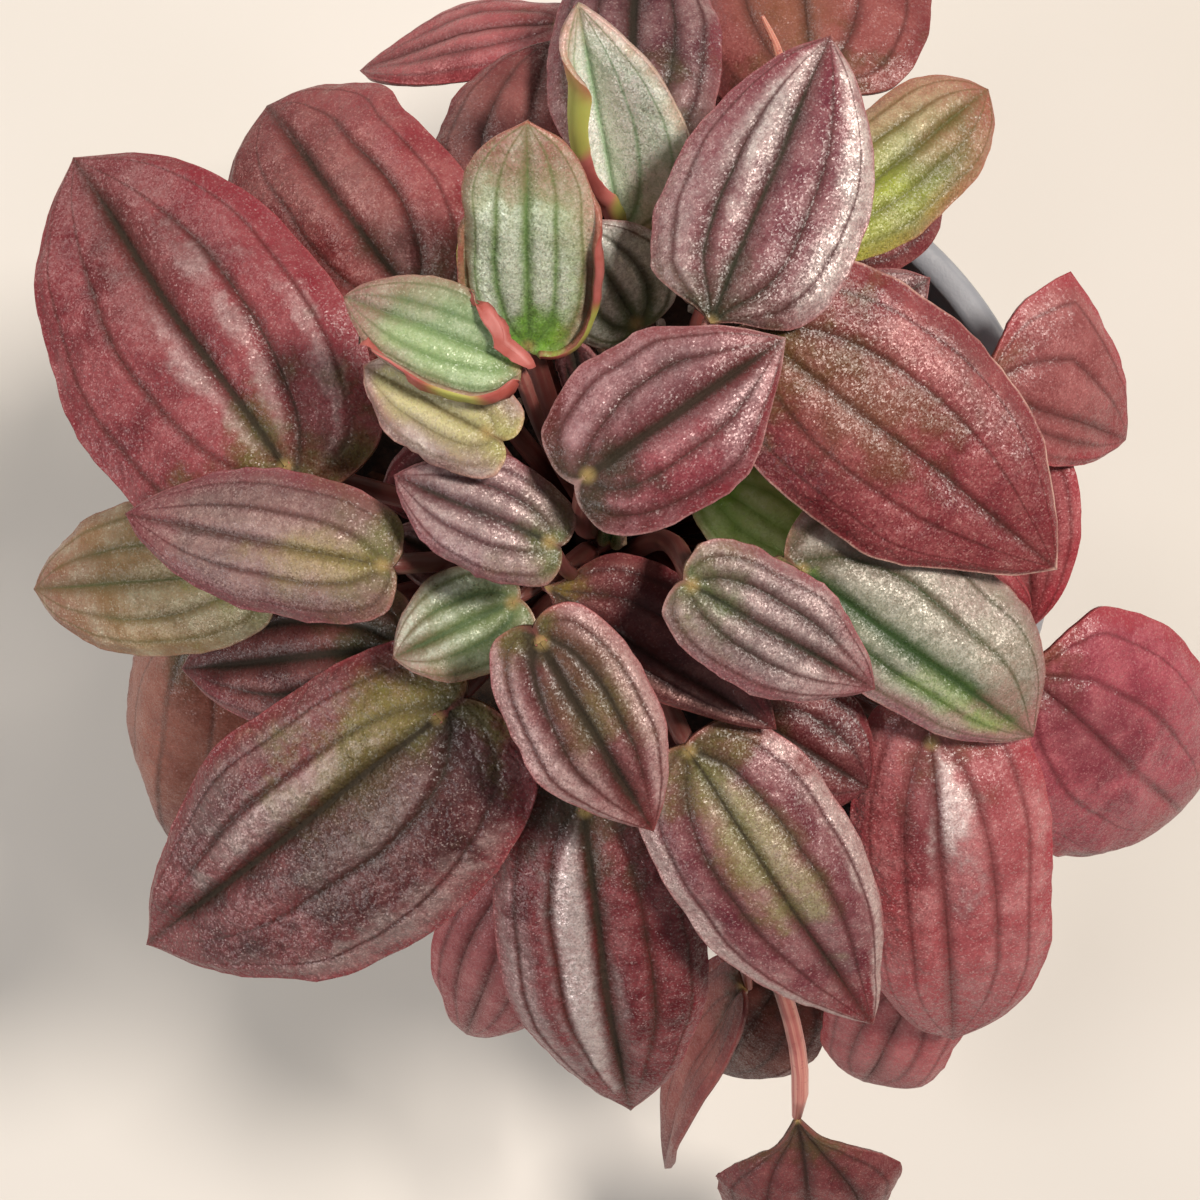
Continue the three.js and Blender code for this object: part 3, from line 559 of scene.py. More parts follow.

# what sets single blades apart; a highlight panel is a painted highlight, a bright patch of silver colour:
# its middle across the blade (-1 right margin, 1 left), its reach, where along the blade it starts and ends,
# and its strength; a tint is a patch of a colour, placed in the same way
looks = {
    "left_large": dict(silverAndSheenAmount=0.09, ridge="#7c262e", deep="#54181e", silver="#e2ccc8", furrows=1,
        vein=0.8, crinkle=0.45, mirror=0.5, paintedGlint=0.17, highlightPanels=((0.09, 0.12, -0.05, 0.6, 3.3),
        (-0.3, 0.09, 0.15, 0.6, 2.6), (-0.7, 0.08, 0.2, 0.5, 2.8)),
        tints=(("#7d2530", -0.9, 0.35, 0.3, 0.8, 0.6), ("#46201a", 0, 0.4, 0.55, 0.95, 0.4))),
    "upper_left": dict(heart="#43341a", ridge="#782a2d", deep="#5f1c1f", furrows=0.9, vein=0.8,
        highlightPanels=((-0.2, 0.4, 0.2, 0.65, 0.6),), tints=(("#8a3a41", -0.8, 0.4, 0.4, 0.9, 0.5),)),
    "front_large": dict(ridge="#68111c", deep="#3f0a11", silverAndSheenAmount=0.11, heart="#3e3a20", furrows=1,
        silver="#ddcdca", vein=0.8, crinkle=0.5, highlightPanels=((-0.2, 0.3, 0, 0.85, 6.5),
        (-0.8, 0.2, 0.45, 0.85, 2.6))),
    "left_front_large": dict(heartReach=0.12, ridge="#5c111a", deep="#38080d", silverAndSheenAmount=0.08,
        silver="#e4cfc8", furrows=1.15, vein=0.6, crinkle=0.8, coat=0.25, highlightPanels=((-0.3, 0.2, 0.3, 0.7, 3.3),
        (0.84, 0.13, 0.3, 0.75, 2.4), (-0.12, 0.12, 0.5, 0.85, 1.6), (0.35, 0.12, 0.25, 0.5, 1.4),
        (-0.72, 0.14, 0.35, 0.7, 1.2)), tints=(("#6f6a30", -0.3, 0.6, 0.05, 0.42, 0.75),
        ("#2a1310", 0.25, 0.6, 0.05, 0.65, 0.65))),
    "front_right_large": dict(ridge="#6d2c35", deep="#4f1c25", silver="#e2cfc9", silverAndSheenAmount=0.21,
        furrows=0.75, vein=0.8, crinkle=0.35, highlightPanels=((0.1, 0.3, 0.1, 0.75, 0.6),
        (0.88, 0.16, 0.35, 0.95, 2.2), (-0.9, 0.16, 0.2, 0.95, 2)),
        tints=(("#77763f", 0.05, 0.42, 0.05, 0.6, 0.75),)),
    "centre_front": dict(ridge="#67282e", deep="#4a1a1e", silver="#dcc0bb", mirror=0.4,
        highlightPanels=((-0.8, 0.26, 0.2, 0.9, 2.2), (0.8, 0.26, 0.3, 0.9, 2.2), (-0.4, 0.3, 0.5, 0.9, 1.4)),
        tints=(("#63622f", 0.25, 0.6, 0.3, 0.62, 0.55), ("#4a331c", -0.1, 0.5, 0, 0.3, 0.6))),
    "centre_heart": dict(heart="#2f2c18", edge="#b08a86", edging=0.5, heartReach=0.22, ridge="#6f2a34",
        deep="#4f1a22", silver="#dcc0c0", silverAndSheenAmount=0.22, highlightPanels=((0.6, 0.4, 0.3, 0.85, 0.8),
        (-0.45, 0.3, 0.6, 0.95, 1.2)), tints=(("#94424a", -0.35, 0.4, 0.3, 0.6, 0.45),)),
    # right_top_large's pale margin line is partly the blade's own edge colour and partly a painted reflection
    "right_top_large": dict(ridge="#79242d", furrows=0.55, vein=0.75, silverAndSheenAmount=0.1, edge="#c9a598",
        edging=0.8, crinkle=0.28, deep="#521a20", highlightPanels=((0.66, 0.26, 0.4, 0.72, 0.8),),
        tints=(("#643f26", 0.05, 0.6, 0, 0.55, 0.65), ("#8a6a1e", 0, 0.5, -0.05, 0.12, 0.8))),
    "upper_right": dict(silverAndSheenAmount=0.2, heart="#343a1e", heartReach=0.26, ridge="#6d2a36", deep="#4f1c28",
        furrows=0.75, mirror=0.5, coat=0.2, crinkle=0.25, highlightPanels=((0.26, 0.34, 0.55, 1, 2.4),
        (-0.8, 0.24, 0.4, 0.95, 2.9), (0.75, 0.25, 0.2, 0.6, 1))),
    "back_green": dict(ridge="#66642e", deep="#4e5222", furrow="#4c4c22", silverAndSheenAmount=0.24, furrows=0.6,
        highlightPanels=((0.4, 0.6, 0.4, 0.85, 0.9),), tints=(("#8e4d48", 0.8, 0.5, 0.1, 0.9, 0.6),)),
    "right_green": dict(heartReach=0.08, ridge="#5a5f42", deep="#414a2e", tip="#8a5a58", tipReach=0.22,
        rim="#835254", furrow="#223814", silver="#c6c2b6", silverAndSheenAmount=0.3,
        highlightPanels=((0.4, 0.6, 0.15, 0.8, 1.3), (-0.4, 0.4, 0.35, 0.75, 0.9)),
        tints=(("#75524f", 0.75, 0.6, -0.1, 0.75, 0.85), ("#84525a", -0.95, 0.4, 0, 0.9, 0.9),
        ("#2c4418", -0.03, 0.2, 0, 0.8, 0.85), ("#7f9a48", -0.3, 0.35, 0.6, 0.9, 0.6))),
    "left_middle": dict(ridge="#5f3536", deep="#432426", silverAndSheenAmount=0.17, furrows=0.62, vein=0.62,
        silver="#cbb4aa", furrow="#33271a", highlightPanels=((0, 0.8, 0.1, 0.9, 1.2),),
        tints=(("#8a7a3e", 0.05, 0.5, 0, 0.5, 0.6),)),
    "centre_left": dict(heart="#5f6b3c", ridge="#714248", deep="#4f2a31", furrows=0.8, vein=0.85,
        highlightPanels=((0, 0.9, 0.2, 0.9, 1.5),)),
    "centre_right": dict(furrows=0.8, vein=0.85, heartReach=0.24, ridge="#6d4346", silver="#d8cac4",
        silverAndSheenAmount=0.38, highlightPanels=((0, 0.9, 0.1, 0.9, 0.6),)),
    "upper_green": dict(ridge="#92aa70", deep="#68824c", silver="#dbe4cf", edge="#8a4a3c", edging=0.9,
        rim="#84604a", furrow="#4f6c3a", furrows=0.5, highlightPanels=((0.36, 0.5, 0.3, 0.7, 2.2),
        (-0.3, 0.5, 0.3, 0.66, 1.8)), tints=(("#9a6a5c", -0.95, 0.3, 0.2, 1.1, 0.7),
        ("#8f5c50", 0, 1.2, 0.8, 1.2, 0.7))),
    "new_curled": dict(silver="#cdd8c0", furrow="#47603a", furrows=0.45, ridge="#768a5e", deep="#5b7048",
        silverAndSheenAmount=0.34, rim="#806a58", heart="#8ab04c", heartReach=0.08, vein=0.8,
        highlightPanels=((0.2, 0.6, 0.2, 0.8, 0.5),), tints=(("#8fa868", 0.3, 0.5, 0.15, 0.7, 0.5),)),
    "new_folded": dict(ridge="#afc3a4", deep="#90a786", furrow="#6d8a62", heart="#b2c25c", heartReach=0.14,
        tip="#a3766a", tipReach=0.16, rim="#a3745f", silver="#f2f3ea", silverAndSheenAmount=0.85, furrows=0.3,
        highlightPanels=((-0.1, 0.9, 0.1, 0.9, 0.9),)),
    # dark_small's pale grey-green colours and strong silver are partly painted light, raised for a small
    # blade that lies in shade
    "dark_small": dict(ridge="#8c8e80", deep="#5a614c", furrow="#33382a", tip="#5c3f40", silver="#eef0e8",
        silverAndSheenAmount=0.7, furrows=0.7, vein=0.7, highlightPanels=((0, 1, 0.1, 0.9, 0.8),)),
    "left_green": dict(ridge="#99784f", deep="#7a5f3d", heart="#8aa83a", tip="#7c4840", tipReach=0.34,
        silverAndSheenAmount=0.4, furrow="#47502a", furrows=0.6),
    "front_small_green": dict(silverAndSheenAmount=0.6, ridge="#7f8a5a", deep="#606c40", heart="#6f9440",
        heartReach=0.09, silver="#cfd6c4", furrow="#3c5030", highlightPanels=((-0.2, 0.8, 0.3, 0.95, 0.8),)),
    # under_right_green's bright yellow-green is partly the young blade's own colour and partly painted light,
    # raised for a blade that lies in shade
    "under_right_green": dict(ridge="#a9c470", deep="#86a554", furrow="#55782f", tipReach=0.1, furrows=0.4),
    "centre_brown": dict(silverAndSheenAmount=0.3, highlightPanels=((-0.3, 0.5, 0.6, 0.95, 1.6),),
        tints=(("#8a741f", 0.3, 0.8, -0.1, 0.16, 0.9),)),
    "front_right": dict(silver="#ecd8d4", furrows=0.5, mirror=0.4, crinkle=0.4, coat=0.35,
        highlightPanels=((0.14, 0.24, 0, 0.4, 5.5),), tints=(("#50141f", -0.05, 0.4, 0.1, 0.5, 0.6),
        ("#963a40", -0.5, 0.5, 0.35, 0.7, 0.5))),
    "left_purple": dict(ridge="#6b2a2c", deep="#44181b", silver="#d0a89c", silverAndSheenAmount=0.2),
    "right_fold": dict(ridge="#8c4b4c", deep="#743839", furrows=0.5),
    "edge_low": dict(ridge="#94463f", deep="#7c3230", furrows=0.3, vein=0.6),
    "front_low": dict(ridge="#74392f", deep="#5a2822", furrows=0.5),
    "left_low": dict(ridge="#8a5040", deep="#70392d", furrows=0.4, vein=0.7),
    "back_right_far": dict(ridge="#82413f", deep="#6a3030", silverAndSheenAmount=0.1, paintedGlint=0.16, furrows=0.5,
        tints=(("#705028", 0.1, 0.5, 0.1, 0.6, 0.45),)),
    "back_brown": dict(ridge="#7c4543", deep="#5f3130", paintedGlint=0.2, furrows=0.6),
    "right_large": dict(furrows=0.55, vein=0.7, ridge="#963e4c", deep="#7a2e3b", coat=0.3,
        tints=(("#4c1420", 0, 0.5, 0.1, 0.6, 0.5),)),
    "centre_pale": dict(ridge="#8d7470", deep="#6b5552", silver="#e0d5c6", silverAndSheenAmount=0.4, heart="#b3b16a",
        heartReach=0.2, rim="#85605c", tip="#94706a", furrows=0.7, furrow="#4f4424",
        tints=(("#c3bd84", 0, 0.62, -0.1, 0.95, 0.9),)),
}

# what all blades share; sizes of patches, grain and cells are counts to the metre, and those of crinkle
# and net to the centimetre
skinForm = {
    "patches": 170.0,  # about 6 mm
    "grain": 2600.0,  # about 0.4 mm
    "cells": 5200.0,  # about 0.2 mm; real cells are finer, and wouldn't show
    "crinkle": 7.0,  # about 1.4 mm
    "net": 3.2,  # meshes of about 3 mm between the finest veins
    "netBend": (5.0, (0.22, 0.22, 0.0)),  # size and strength of the noise that bends them
    # how far patches blur a zone's bounds, and the grain those of a furrow
    "cloud": 0.7,
    "wander": 0.06,
    "crest": (0.05, 0.24),  # centimetres from a furrow at which silver and its painted sheen start and are full
    # a furrow's painted crease shade and its dark line, the line partly the vein's own colour and partly
    # painted crease shade: where they start to fade, where they end, and their strength
    "paintedCreaseShade": (0.06, 0.3, 0.5),
    "furrowLine": (0.02, 0.11, 0.88),
    "stalkSpot": "#97804f",
    "stalkSpotReach": 0.15,
    "paintedGlint": 0.22,  # how bright the painted glints on single cells are, and how strong the margin's line is
    "edging": 0.45,
    "crinkleBump": 0.14,
    "cellLean": (0.4, 0.4, 0.4),  # how far each cell leans its own way
    "roughness": (0.36, 0.5),
    "furrowRoughness": 0.85,
    "flesh": {"Subsurface Radius": (0.0012, 0.0005, 0.0004), "Subsurface Scale": 1.0},
    "underPatches": 260.0,
    "underFlush": 90.0,
    "underVein": "#ab615b",
    "youngUnder": "#9fa850",
    "youngKinds": ("silver", "green", "lime"),
    "youngShare": 0.85,
}


def leafSkin(leaf):
    # living leaf skin: waxy, puffed between sunken veins, with tiny air pockets that glint like mica; sheen
    # and glints are partly painted into its colour
    form = skinForm
    kind = {**leafKinds[leaf["kind"]], **looks.get(leaf["name"], {})}
    material, tree, shader, place = newMaterial("waxy leaf skin " + leaf["name"])
    across, length = uvParts(tree, "surface")
    furrow, edge = uvParts(tree, "veins")  # centimetres to the nearest furrow and to the margin
    sheet = uvMap(tree, "sheet")
    patches = clouds(tree, place, form["patches"], 4.0, Roughness=0.6)
    grain = clouds(tree, place, form["grain"])
    cells = addNode(tree, "ShaderNodeTexVoronoi", None, {"Vector": place, "Scale": form["cells"]})
    cellTint = addNode(tree, "ShaderNodeSeparateColor", None, {0: (cells, "Color")})
    stray, blur = form["wander"], form["cloud"]
    nearFurrow = plus(tree, furrow, compute(tree, "MULTIPLY_ADD", grain, stray, -stray / 2))
    cloud = compute(tree, "MULTIPLY_ADD", patches, blur, -blur / 2)
    cloudy = plus(tree, length, cloud)
    skin = mixColour(tree, fade(tree, patches, 0.25, 0.7), kind["deep"], kind["ridge"])
    skin = lay(tree, skin, kind["rim"], plus(tree, edge, cloud), 0.0, 0.3, 0.8, 0.0)
    skin = lay(tree, skin, kind["heart"], cloudy, 0.02, kind["heartReach"] * 1.8, 0.9, 0.0)
    skin = lay(tree, skin, kind["tip"], cloudy, 1.0 - kind["tipReach"] * 1.6, 0.97, 0.0, 0.9)

    def zone(middle, reach, start, end, strength):
        # a soft-edged patch of the blade, as in looks
        off = compute(tree, "ABSOLUTE", compute(tree, "SUBTRACT", across, middle * 0.5 + 0.5))
        off = plus(tree, off, times(tree, cloud, 0.35))
        mask = fade(tree, off, reach * 0.12, reach * 0.62, strength, 0.0)
        mask = times(tree, mask, fade(tree, cloudy, start - 0.1, start + 0.1))
        return times(tree, mask, fade(tree, cloudy, end - 0.15, end + 0.1, 1.0, 0.0))

    for colour, *tint in kind.get("tints", ()):
        skin = mixColour(tree, zone(*tint), skin, colour)
    # silver lies on the tops of the ridges, in patches, partly the skin's own silvery tone and partly painted
    # sheen, and on some blades in a bright panel of painted highlight
    spread = fade(tree, patches, 0.36, 0.76, 0.0, 0.9)
    for highlightPanel in kind.get("highlightPanels", ()):
        spread = plus(tree, spread, zone(*highlightPanel))
    silver = times(tree, fade(tree, nearFurrow, *form["crest"]), times(tree, spread, kind["silverAndSheenAmount"]))
    # crinkles and grain break it up
    crinkle = clouds(tree, sheet, form["crinkle"], 1.6, Roughness=0.55, Distortion=0.3)
    silver = times(tree, silver, fade(tree, crinkle, 0.36, 0.62, 0.72, 1.14))
    silver = times(tree, silver, fade(tree, grain, 0.35, 0.65, 0.84, 1.1))
    silver.use_clamp = True
    skin = mixColour(tree, silver, skin, kind["silver"])
    # each cell is a little lighter or darker than its neighbours, and a few carry a painted glint
    paintedGlintCells = compute(tree, "POWER", (cellTint, 0), 9.0)
    paintedGlintStrength = kind.get("paintedGlint", form["paintedGlint"])
    paintedGlint = times(tree, paintedGlintCells, fade(tree, nearFurrow, *form["crest"], 0.06, paintedGlintStrength))
    skin = mixColour(tree, paintedGlint, skin, kind["silver"])
    skin = lay(tree, skin, kind["deep"], (cellTint, 1), 0.0, 0.6, 0.28, 0.0)
    # furrows: a painted soft crease shade with a dark line in it, the line partly the vein's own colour and
    # partly painted crease shade
    wide = kind.get("vein", 1.0)
    start, end, amount = form["paintedCreaseShade"]
    skin = lay(tree, skin, kind["furrow"], nearFurrow, start, end * wide, amount, 0.0)
    start, end, amount = form["furrowLine"]
    vein = fade(tree, nearFurrow, start * wide, end * wide, 1.0, 0.0)
    skin = mixColour(tree, times(tree, vein, amount), skin, kind["furrow"])
    # the margin's thin line, broken by the patches, and the pale spot over the stalk
    thinEdge = fade(tree, edge, 0.0, 0.04, kind.get("edging", form["edging"]), 0.0)
    skin = mixColour(tree, times(tree, thinEdge, fade(tree, patches, 0.35, 0.6, 0.3)), skin, kind["edge"])
    fromStalk = (vectorMath(tree, "LENGTH", sheet), "Value")
    skin = lay(tree, skin, form["stalkSpot"], fromStalk, 0.0, form["stalkSpotReach"], 0.75, 0.0)
    rough = fade(tree, (cellTint, 2), 0.0, 1.0, *form["roughness"])
    rough = compute(tree, "MAXIMUM", rough, times(tree, vein, form["furrowRoughness"]))
    # a net of fine sunken veins, crinkles, grain, and cells that each lean their own way
    netScale, netBend = form["netBend"]
    bentSheet = vectorMath(tree, "MULTIPLY_ADD", (clouds(tree, sheet, netScale), "Color"), netBend, sheet)
    meshes = addNode(tree, "ShaderNodeTexVoronoi", {"feature": "DISTANCE_TO_EDGE"},
                     {"Vector": bentSheet, "Scale": form["net"]})
    bump = relief(tree, fade(tree, meshes, 0.0, 0.28), 0.2, 0.00022)
    bump = relief(tree, crinkle, kind.get("crinkle", form["crinkleBump"]), 0.0006, bump)
    bump = relief(tree, grain, 0.14, 0.00014, bump)
    lean = vectorMath(tree, "SUBTRACT", (cells, "Color"), (0.5, 0.5, 0.5))
    facets = vectorMath(tree, "NORMALIZE", vectorMath(tree, "MULTIPLY_ADD", lean, form["cellLean"], bump))
    setSockets(tree, shader, {
        "Base Color": skin,
        # the air pockets throw light back as a mirror does: a small share of metal stands for them
        "Metallic": times(tree, silver, kind["mirror"]),
        "Roughness": rough,
        "IOR": 1.45,
        "Specular IOR Level": 0.36,
        "Coat Weight": fade(tree, vein, 0.0, 0.8, kind["coat"], 0.0),
        "Coat IOR": 1.5,
        "Coat Roughness": 0.32,
        "Subsurface Weight": 0.06,
        "Normal": facets,
        "Coat Normal": facets,
        **form["flesh"],
    })
    return material


def leafBack(name, colour):
    # lower face: matt, paler, with the veins standing proud, yellow-green in patches where it is young
    form = skinForm
    material, tree, shader, place = newMaterial("matt leaf underside " + name)
    furrow, _ = uvParts(tree, "veins")
    patches = clouds(tree, place, form["underPatches"], 4.0)
    vein = fade(tree, furrow, 0.0, 0.12, 1.0, 0.0)
    skin = mixColour(tree, fade(tree, patches, 0.3, 0.7), colour, form["underVein"])
    young = form["youngShare"] if name in form["youngKinds"] else 0.0
    flush = clouds(tree, place, form["underFlush"], 1.0)
    skin = lay(tree, skin, form["youngUnder"], flush, 0.46, 0.6, 0.0, young)
    skin = mixColour(tree, times(tree, vein, 0.7), skin, form["underVein"])
    bump = relief(tree, patches, 0.3, 0.0003, relief(tree, vein, 0.5, 0.0004))
    setSockets(tree, shader, {"Base Color": skin, "Roughness": 0.52, "Specular IOR Level": 0.4,
                              "Subsurface Weight": 0.1, "Normal": bump, **form["flesh"]})
    return material


backs = {name: leafBack(name, kind["under"]) for name, kind in leafKinds.items()}

# the blades' fine form in millimetres
leafForm = {
    "thickness": 0.8,
    "strips": {"large": 11, "middle": 9, "small": 6},
    "rows": {"large": 66, "middle": 50, "small": 32},
    "fullWidth": 34,  # a blade this wide has furrows and puckers of full size, a smaller one finer ones
    # furrows on each side: place across the half blade, how strong against the midrib, how far they stray
    "furrows": (0.0, 0.43, 0.78),
    "strengths": (1.0, 0.78, 0.3),
    "stray": (0.035, 0.06),
    "weakest": 0.02,
    # every furrow is a soft valley with a narrow crease along its bottom
    "valleyDepth": 0.75,
    "valleyWidth": 0.125,
    "ridgeTop": 0.55,
    "creaseDepth": 0.4,
    "creaseWidth": 0.42,
    # the two halves of a blade dip towards the midrib
    "foldDepth": 0.7,
    "foldWidth": 0.3,
    # uneven skin: size across and along, and height
    "swell": (11, 14, 1.1),
    "pucker": (4.6, 7.0, 0.34),
    "dimple": (1.9, 2.4, 0.12),
    "wrinkle": (4.4, 0.75, 1.6, 0.05),  # length, slant, how far puckers bend it, height
    "valleyCalm": 0.6,  # how much smoother it is in a furrow
    "marginDrop": 0.7,
    "marginFrom": 0.8,
    "ends": 0.16,
    # the margin's ruffles and nicks: how many along it, how far out and how far up
    "ruffle": (8, 0.03, 0.35),
    "nick": (26, 1, 12),
}


def makeBlade(leaf, seed):
    form = leafForm
    strips = form["strips"][leaf["size"]]
    scale = math.sqrt(leaf["width"] / form["fullWidth"])
    force = looks.get(leaf["name"], {}).get("furrows", leafKinds[leaf["kind"]]["furrows"])
    steps = len(form["furrows"]) * strips
    half = leaf["width"] / 2

    def wander(s, k):
        return noise.noise(Vector((s * 2.6, seed * 1.7, k * 9.1)))

    def stopsAt(s, side):
        # the furrows wander a little, and not alike on both sides
        midribStray, sideStray = form["stray"]
        inner = [f + sideStray * wander(s, k * side) for k, f in enumerate(form["furrows"]) if k]
        return [midribStray * wander(s, 0) * side] + inner + [1.0]

    def furrowsAt(s, t, side, stops, reach):
        # how deep valley and crease are here, and how far off the nearest furrow is
        valley = crease = 0.0
        nearest = 9.0
        for number, (f, weight) in enumerate(zip(stops, form["strengths"])):
            if number:
                # side furrows die away towards the point, some sooner than others
                weight *= 1 - ease(0.5 + 0.12 * wander(0.3, number * side + 7), 0.92, s)
                weight *= 0.8 + 0.6 * wander(s * 0.6, number * side + 13)
            else:
                weight *= 1 - 0.6 * ease(0.75, 1, s)
            weight = max(form["weakest"], weight * force)
            away = abs(abs(t) - f) * reach
            valley = max(valley, weight * math.exp(-((away / (form["valleyWidth"] * half)) ** 1.4)))
            crease = max(crease, weight * math.exp(-away / (form["creaseWidth"] * scale)))
            nearest = min(nearest, away / weight ** 0.5 + 1.1 * (1 - min(1, weight)))
        return valley, crease, nearest

    def liftAt(at, along, t, valley, crease):
        def skinNoise(name, shift):
            wide, long, height = form[name]
            return noise.noise(Vector((at / wide, along / long, seed * 3.7 + shift))), height

        pucker, puckerHeight = skinNoise("pucker", 0)
        dimple, dimpleHeight = skinNoise("dimple", 40)
        swell, swellHeight = skinNoise("swell", 80)
        length, slant, bent, wrinkleHeight = form["wrinkle"]
        wrinkle = math.sin(math.tau * (along - slant * abs(at) + bent * pucker) / length)
        uneven = pucker * puckerHeight + dimple * dimpleHeight + wrinkle * wrinkleHeight
        lift = form["valleyDepth"] * (form["ridgeTop"] - valley) - form["creaseDepth"] * crease
        lift += uneven * (1 - form["valleyCalm"] * valley) + swell * swellHeight
        lift -= form["foldDepth"] * math.exp(-((abs(at) / (form["foldWidth"] * half)) ** 1.3)) * force
        return (lift - form["marginDrop"] * ease(form["marginFrom"], 1, abs(t))) * scale

    def curled(s, t, reach, point, normal):
        # the margin of an unfolding blade rolls over and shows its underside
        for side, start, end, length, radius, inset, height in leaf["curls"]:
            amount = ease(start - 0.12, start + 0.12, s) * (1 - ease(end - 0.15, end + 0.15, s))
            begin = 1 - (radius + inset * amount) / max(reach, radius + inset + 1)
            if t * side < begin or amount < 0.02:
                continue
            origin, _, _, _ = bladePoint(leaf, s, side * begin)
            outward = (point - origin).normalized()
            share = (t * side - begin) / (1 - begin)
            turned = share * length * amount / radius
            up = normal * (radius * height * (1 - math.cos(turned)))
            rolled = origin + outward * (radius * math.sin(turned)) + up
            return point.lerp(rolled, min(1, amount * 1.5))
        return point

    def place(u, v):
        s = v ** bladeForm["rowEase"]
        column = round(u * steps * 2) - steps
        side = -1 if column < 0 else 1
        k, share = divmod(abs(column), strips)
        stops = stopsAt(s, side)
        if k == len(stops) - 1:
            k, share = k - 1, strips
        # columns crowd together at the furrows, where the surface turns sharply
        share = 0.35 * share / strips + 0.65 * (0.5 - 0.5 * math.cos(math.pi * share / strips))
        t = side * (stops[k] + (stops[k + 1] - stops[k]) * share)
        envelope = min(1, s / form["ends"]) * min(1, (1 - s) / form["ends"])
        _, _, reach, along = bladePoint(leaf, s, t)
        at = t * reach
        valley, crease, nearest = furrowsAt(s, t, side, stops, reach)
        point, normal, _, _ = bladePoint(leaf, s, t, extra=liftAt(at, along, t, valley, crease) * envelope)
        point = curled(s, t, reach, point, normal)
        waves, out, up = form["ruffle"]
        ruffle = noise.noise(Vector((s * waves, seed * 2.3, 5.0 * side)))
        nicks, nickOut, nickUp = form["nick"]
        nick = noise.noise(Vector((s * nicks, seed * 2.3, 5.0 * side))) * leaf["crimp"]
        margin = abs(t) ** 4
        point = point + leaf["axes"][1] * at * (ruffle * out + nick * nickOut * margin)
        point = point + normal * ((ruffle * up + nick * nickUp) * margin * envelope)
        toEdge = (1 - abs(t)) * reach
        # the veins and sheet maps are in centimetres
        return point * mm, ((t * 0.5 + 0.5, s), (nearest / 10, toEdge / 10), (at / 10, along / 10))

    bm = bmesh.new()
    shapeGrid(bm, steps * 2, form["rows"][leaf["size"]], place, ("surface", "veins", "sheet"))
    turnFaces(bm, leaf["axes"][2])
    piece = finishPiece("blade_" + leaf["name"], bm, [leafSkin(leaf), backs[leaf["kind"]]],
                        ["leaf_" + leaf["name"]])
    wall = piece.modifiers.new("bladeThickness", "SOLIDIFY")
    wall.thickness = form["thickness"] * mm
    wall.offset = -1
    wall.material_offset = 1


for index, leaf in enumerate(leaves):
    makeBlade(leaf, index)
print("leaves ready:", len(leaves))


stalkForm = {
    "radius": 1.25,
    "slender": {"small": 0.72, "middle": 1.05, "large": 1.05},
    "sides": 10,
    "steps": 18,
    # roots stand further out for low leaves: from the height of the top leaves, over this depth, by so much
    "topHeight": 160,
    "depth": 60,
    "rootOut": (2, 9),
    "bendOut": 0.18,
    "meet": (0.75, 0.8),  # how far out and up a stalk points where it meets its blade
    "tuck": 0.95,  # the end lies this deep under the blade's upper face
    "crownCentre": (-10, -3),
    "crownRadius": 14,
    "crownTop": 86,
    "crownDepth": 11,
    "crownSteps": (56, 22),
    "knob": 1.0,
    "soilHeight": 83,
    "spikeRadius": 0.8,
    "spikeSteps": (12, 60),
    "spikeFlowers": 0.72,  # where along the spike its flowers start
    "spikePath": [(-5, 3, 83), (0, 16, 101), (8, 37, 116), (13, 50, 120), (16, 60, 121), (13.6, 66.6, 124)],
    # flesh, its paler and darker patches, and the darker skin near the crown, partly older skin and partly
    # painted shade under the leaves, then how speckled it is
    "stalk": ("#b0605a", "#cd9486", "#84383a", "#451f1b", 0.35),
    "crown": ("#4a2c25", "#5f382e", "#2c1e19", "#2a1b16", 0.5),
    "spike": ("#b9776a", "#cf9c86", "#93504a", "#93504a", 0.9),
}


def bezier(points, u):
    a, b, c, d = points
    return a * (1 - u) ** 3 + b * (3 * u * (1 - u) ** 2) + c * (3 * u * u * (1 - u)) + d * u ** 3


def stalkPath(leaf, jitter):
    form = stalkForm
    _, normal, _, _ = bladePoint(leaf, 0, 0)
    centre = Vector((*form["crownCentre"], 0))
    out = leaf["base"] - centre
    out.z = 0
    far = out.length
    out.normalize()
    low = max(0, min(1, (form["topHeight"] - leaf["base"].z) / form["depth"]))
    near, spread = form["rootOut"]
    root = centre + out * min(far * 0.5, near + low * spread + jitter)
    root.z = form["soilHeight"] - 1
    meetOut, meetUp = form["meet"]
    way = Vector(leaf["stalk"]) if leaf["stalk"] else Vector((out.x * meetOut, out.y * meetOut, meetUp))
    way.normalize()
    end = leaf["base"] - normal * form["tuck"]
    first = root + out * far * form["bendOut"]
    first.z = root.z + leaf["rise"]
    return [root, first, end - way * leaf["reach"], end]


def tube(bm, at, radiusAt, sides, steps):
    # a round sheet wrapped along a path and closed to a point at both ends
    spine = [at(i / steps) for i in range(steps + 1)]
    frames = []
    side = None
    for i in range(steps + 1):
        ahead = (spine[min(i + 1, steps)] - spine[max(i - 1, 0)]).normalized()
        side = (side - ahead * side.dot(ahead) if side else ahead.orthogonal()).normalized()
        frames.append((side, ahead.cross(side)))

    def place(u, v):
        i = round(v * (steps + 2)) - 1
        closed = i < 0 or i > steps
        i = max(0, min(steps, i))
        angle = round(u * sides) % sides / sides * math.tau
        radius = 0 if closed else radiusAt(i / steps)
        across, over = frames[i]
        point = spine[i] + across * (radius * math.cos(angle)) + over * (radius * math.sin(angle))
        return point * mm, ((u, v),)

    shapeGrid(bm, sides, steps + 2, place)


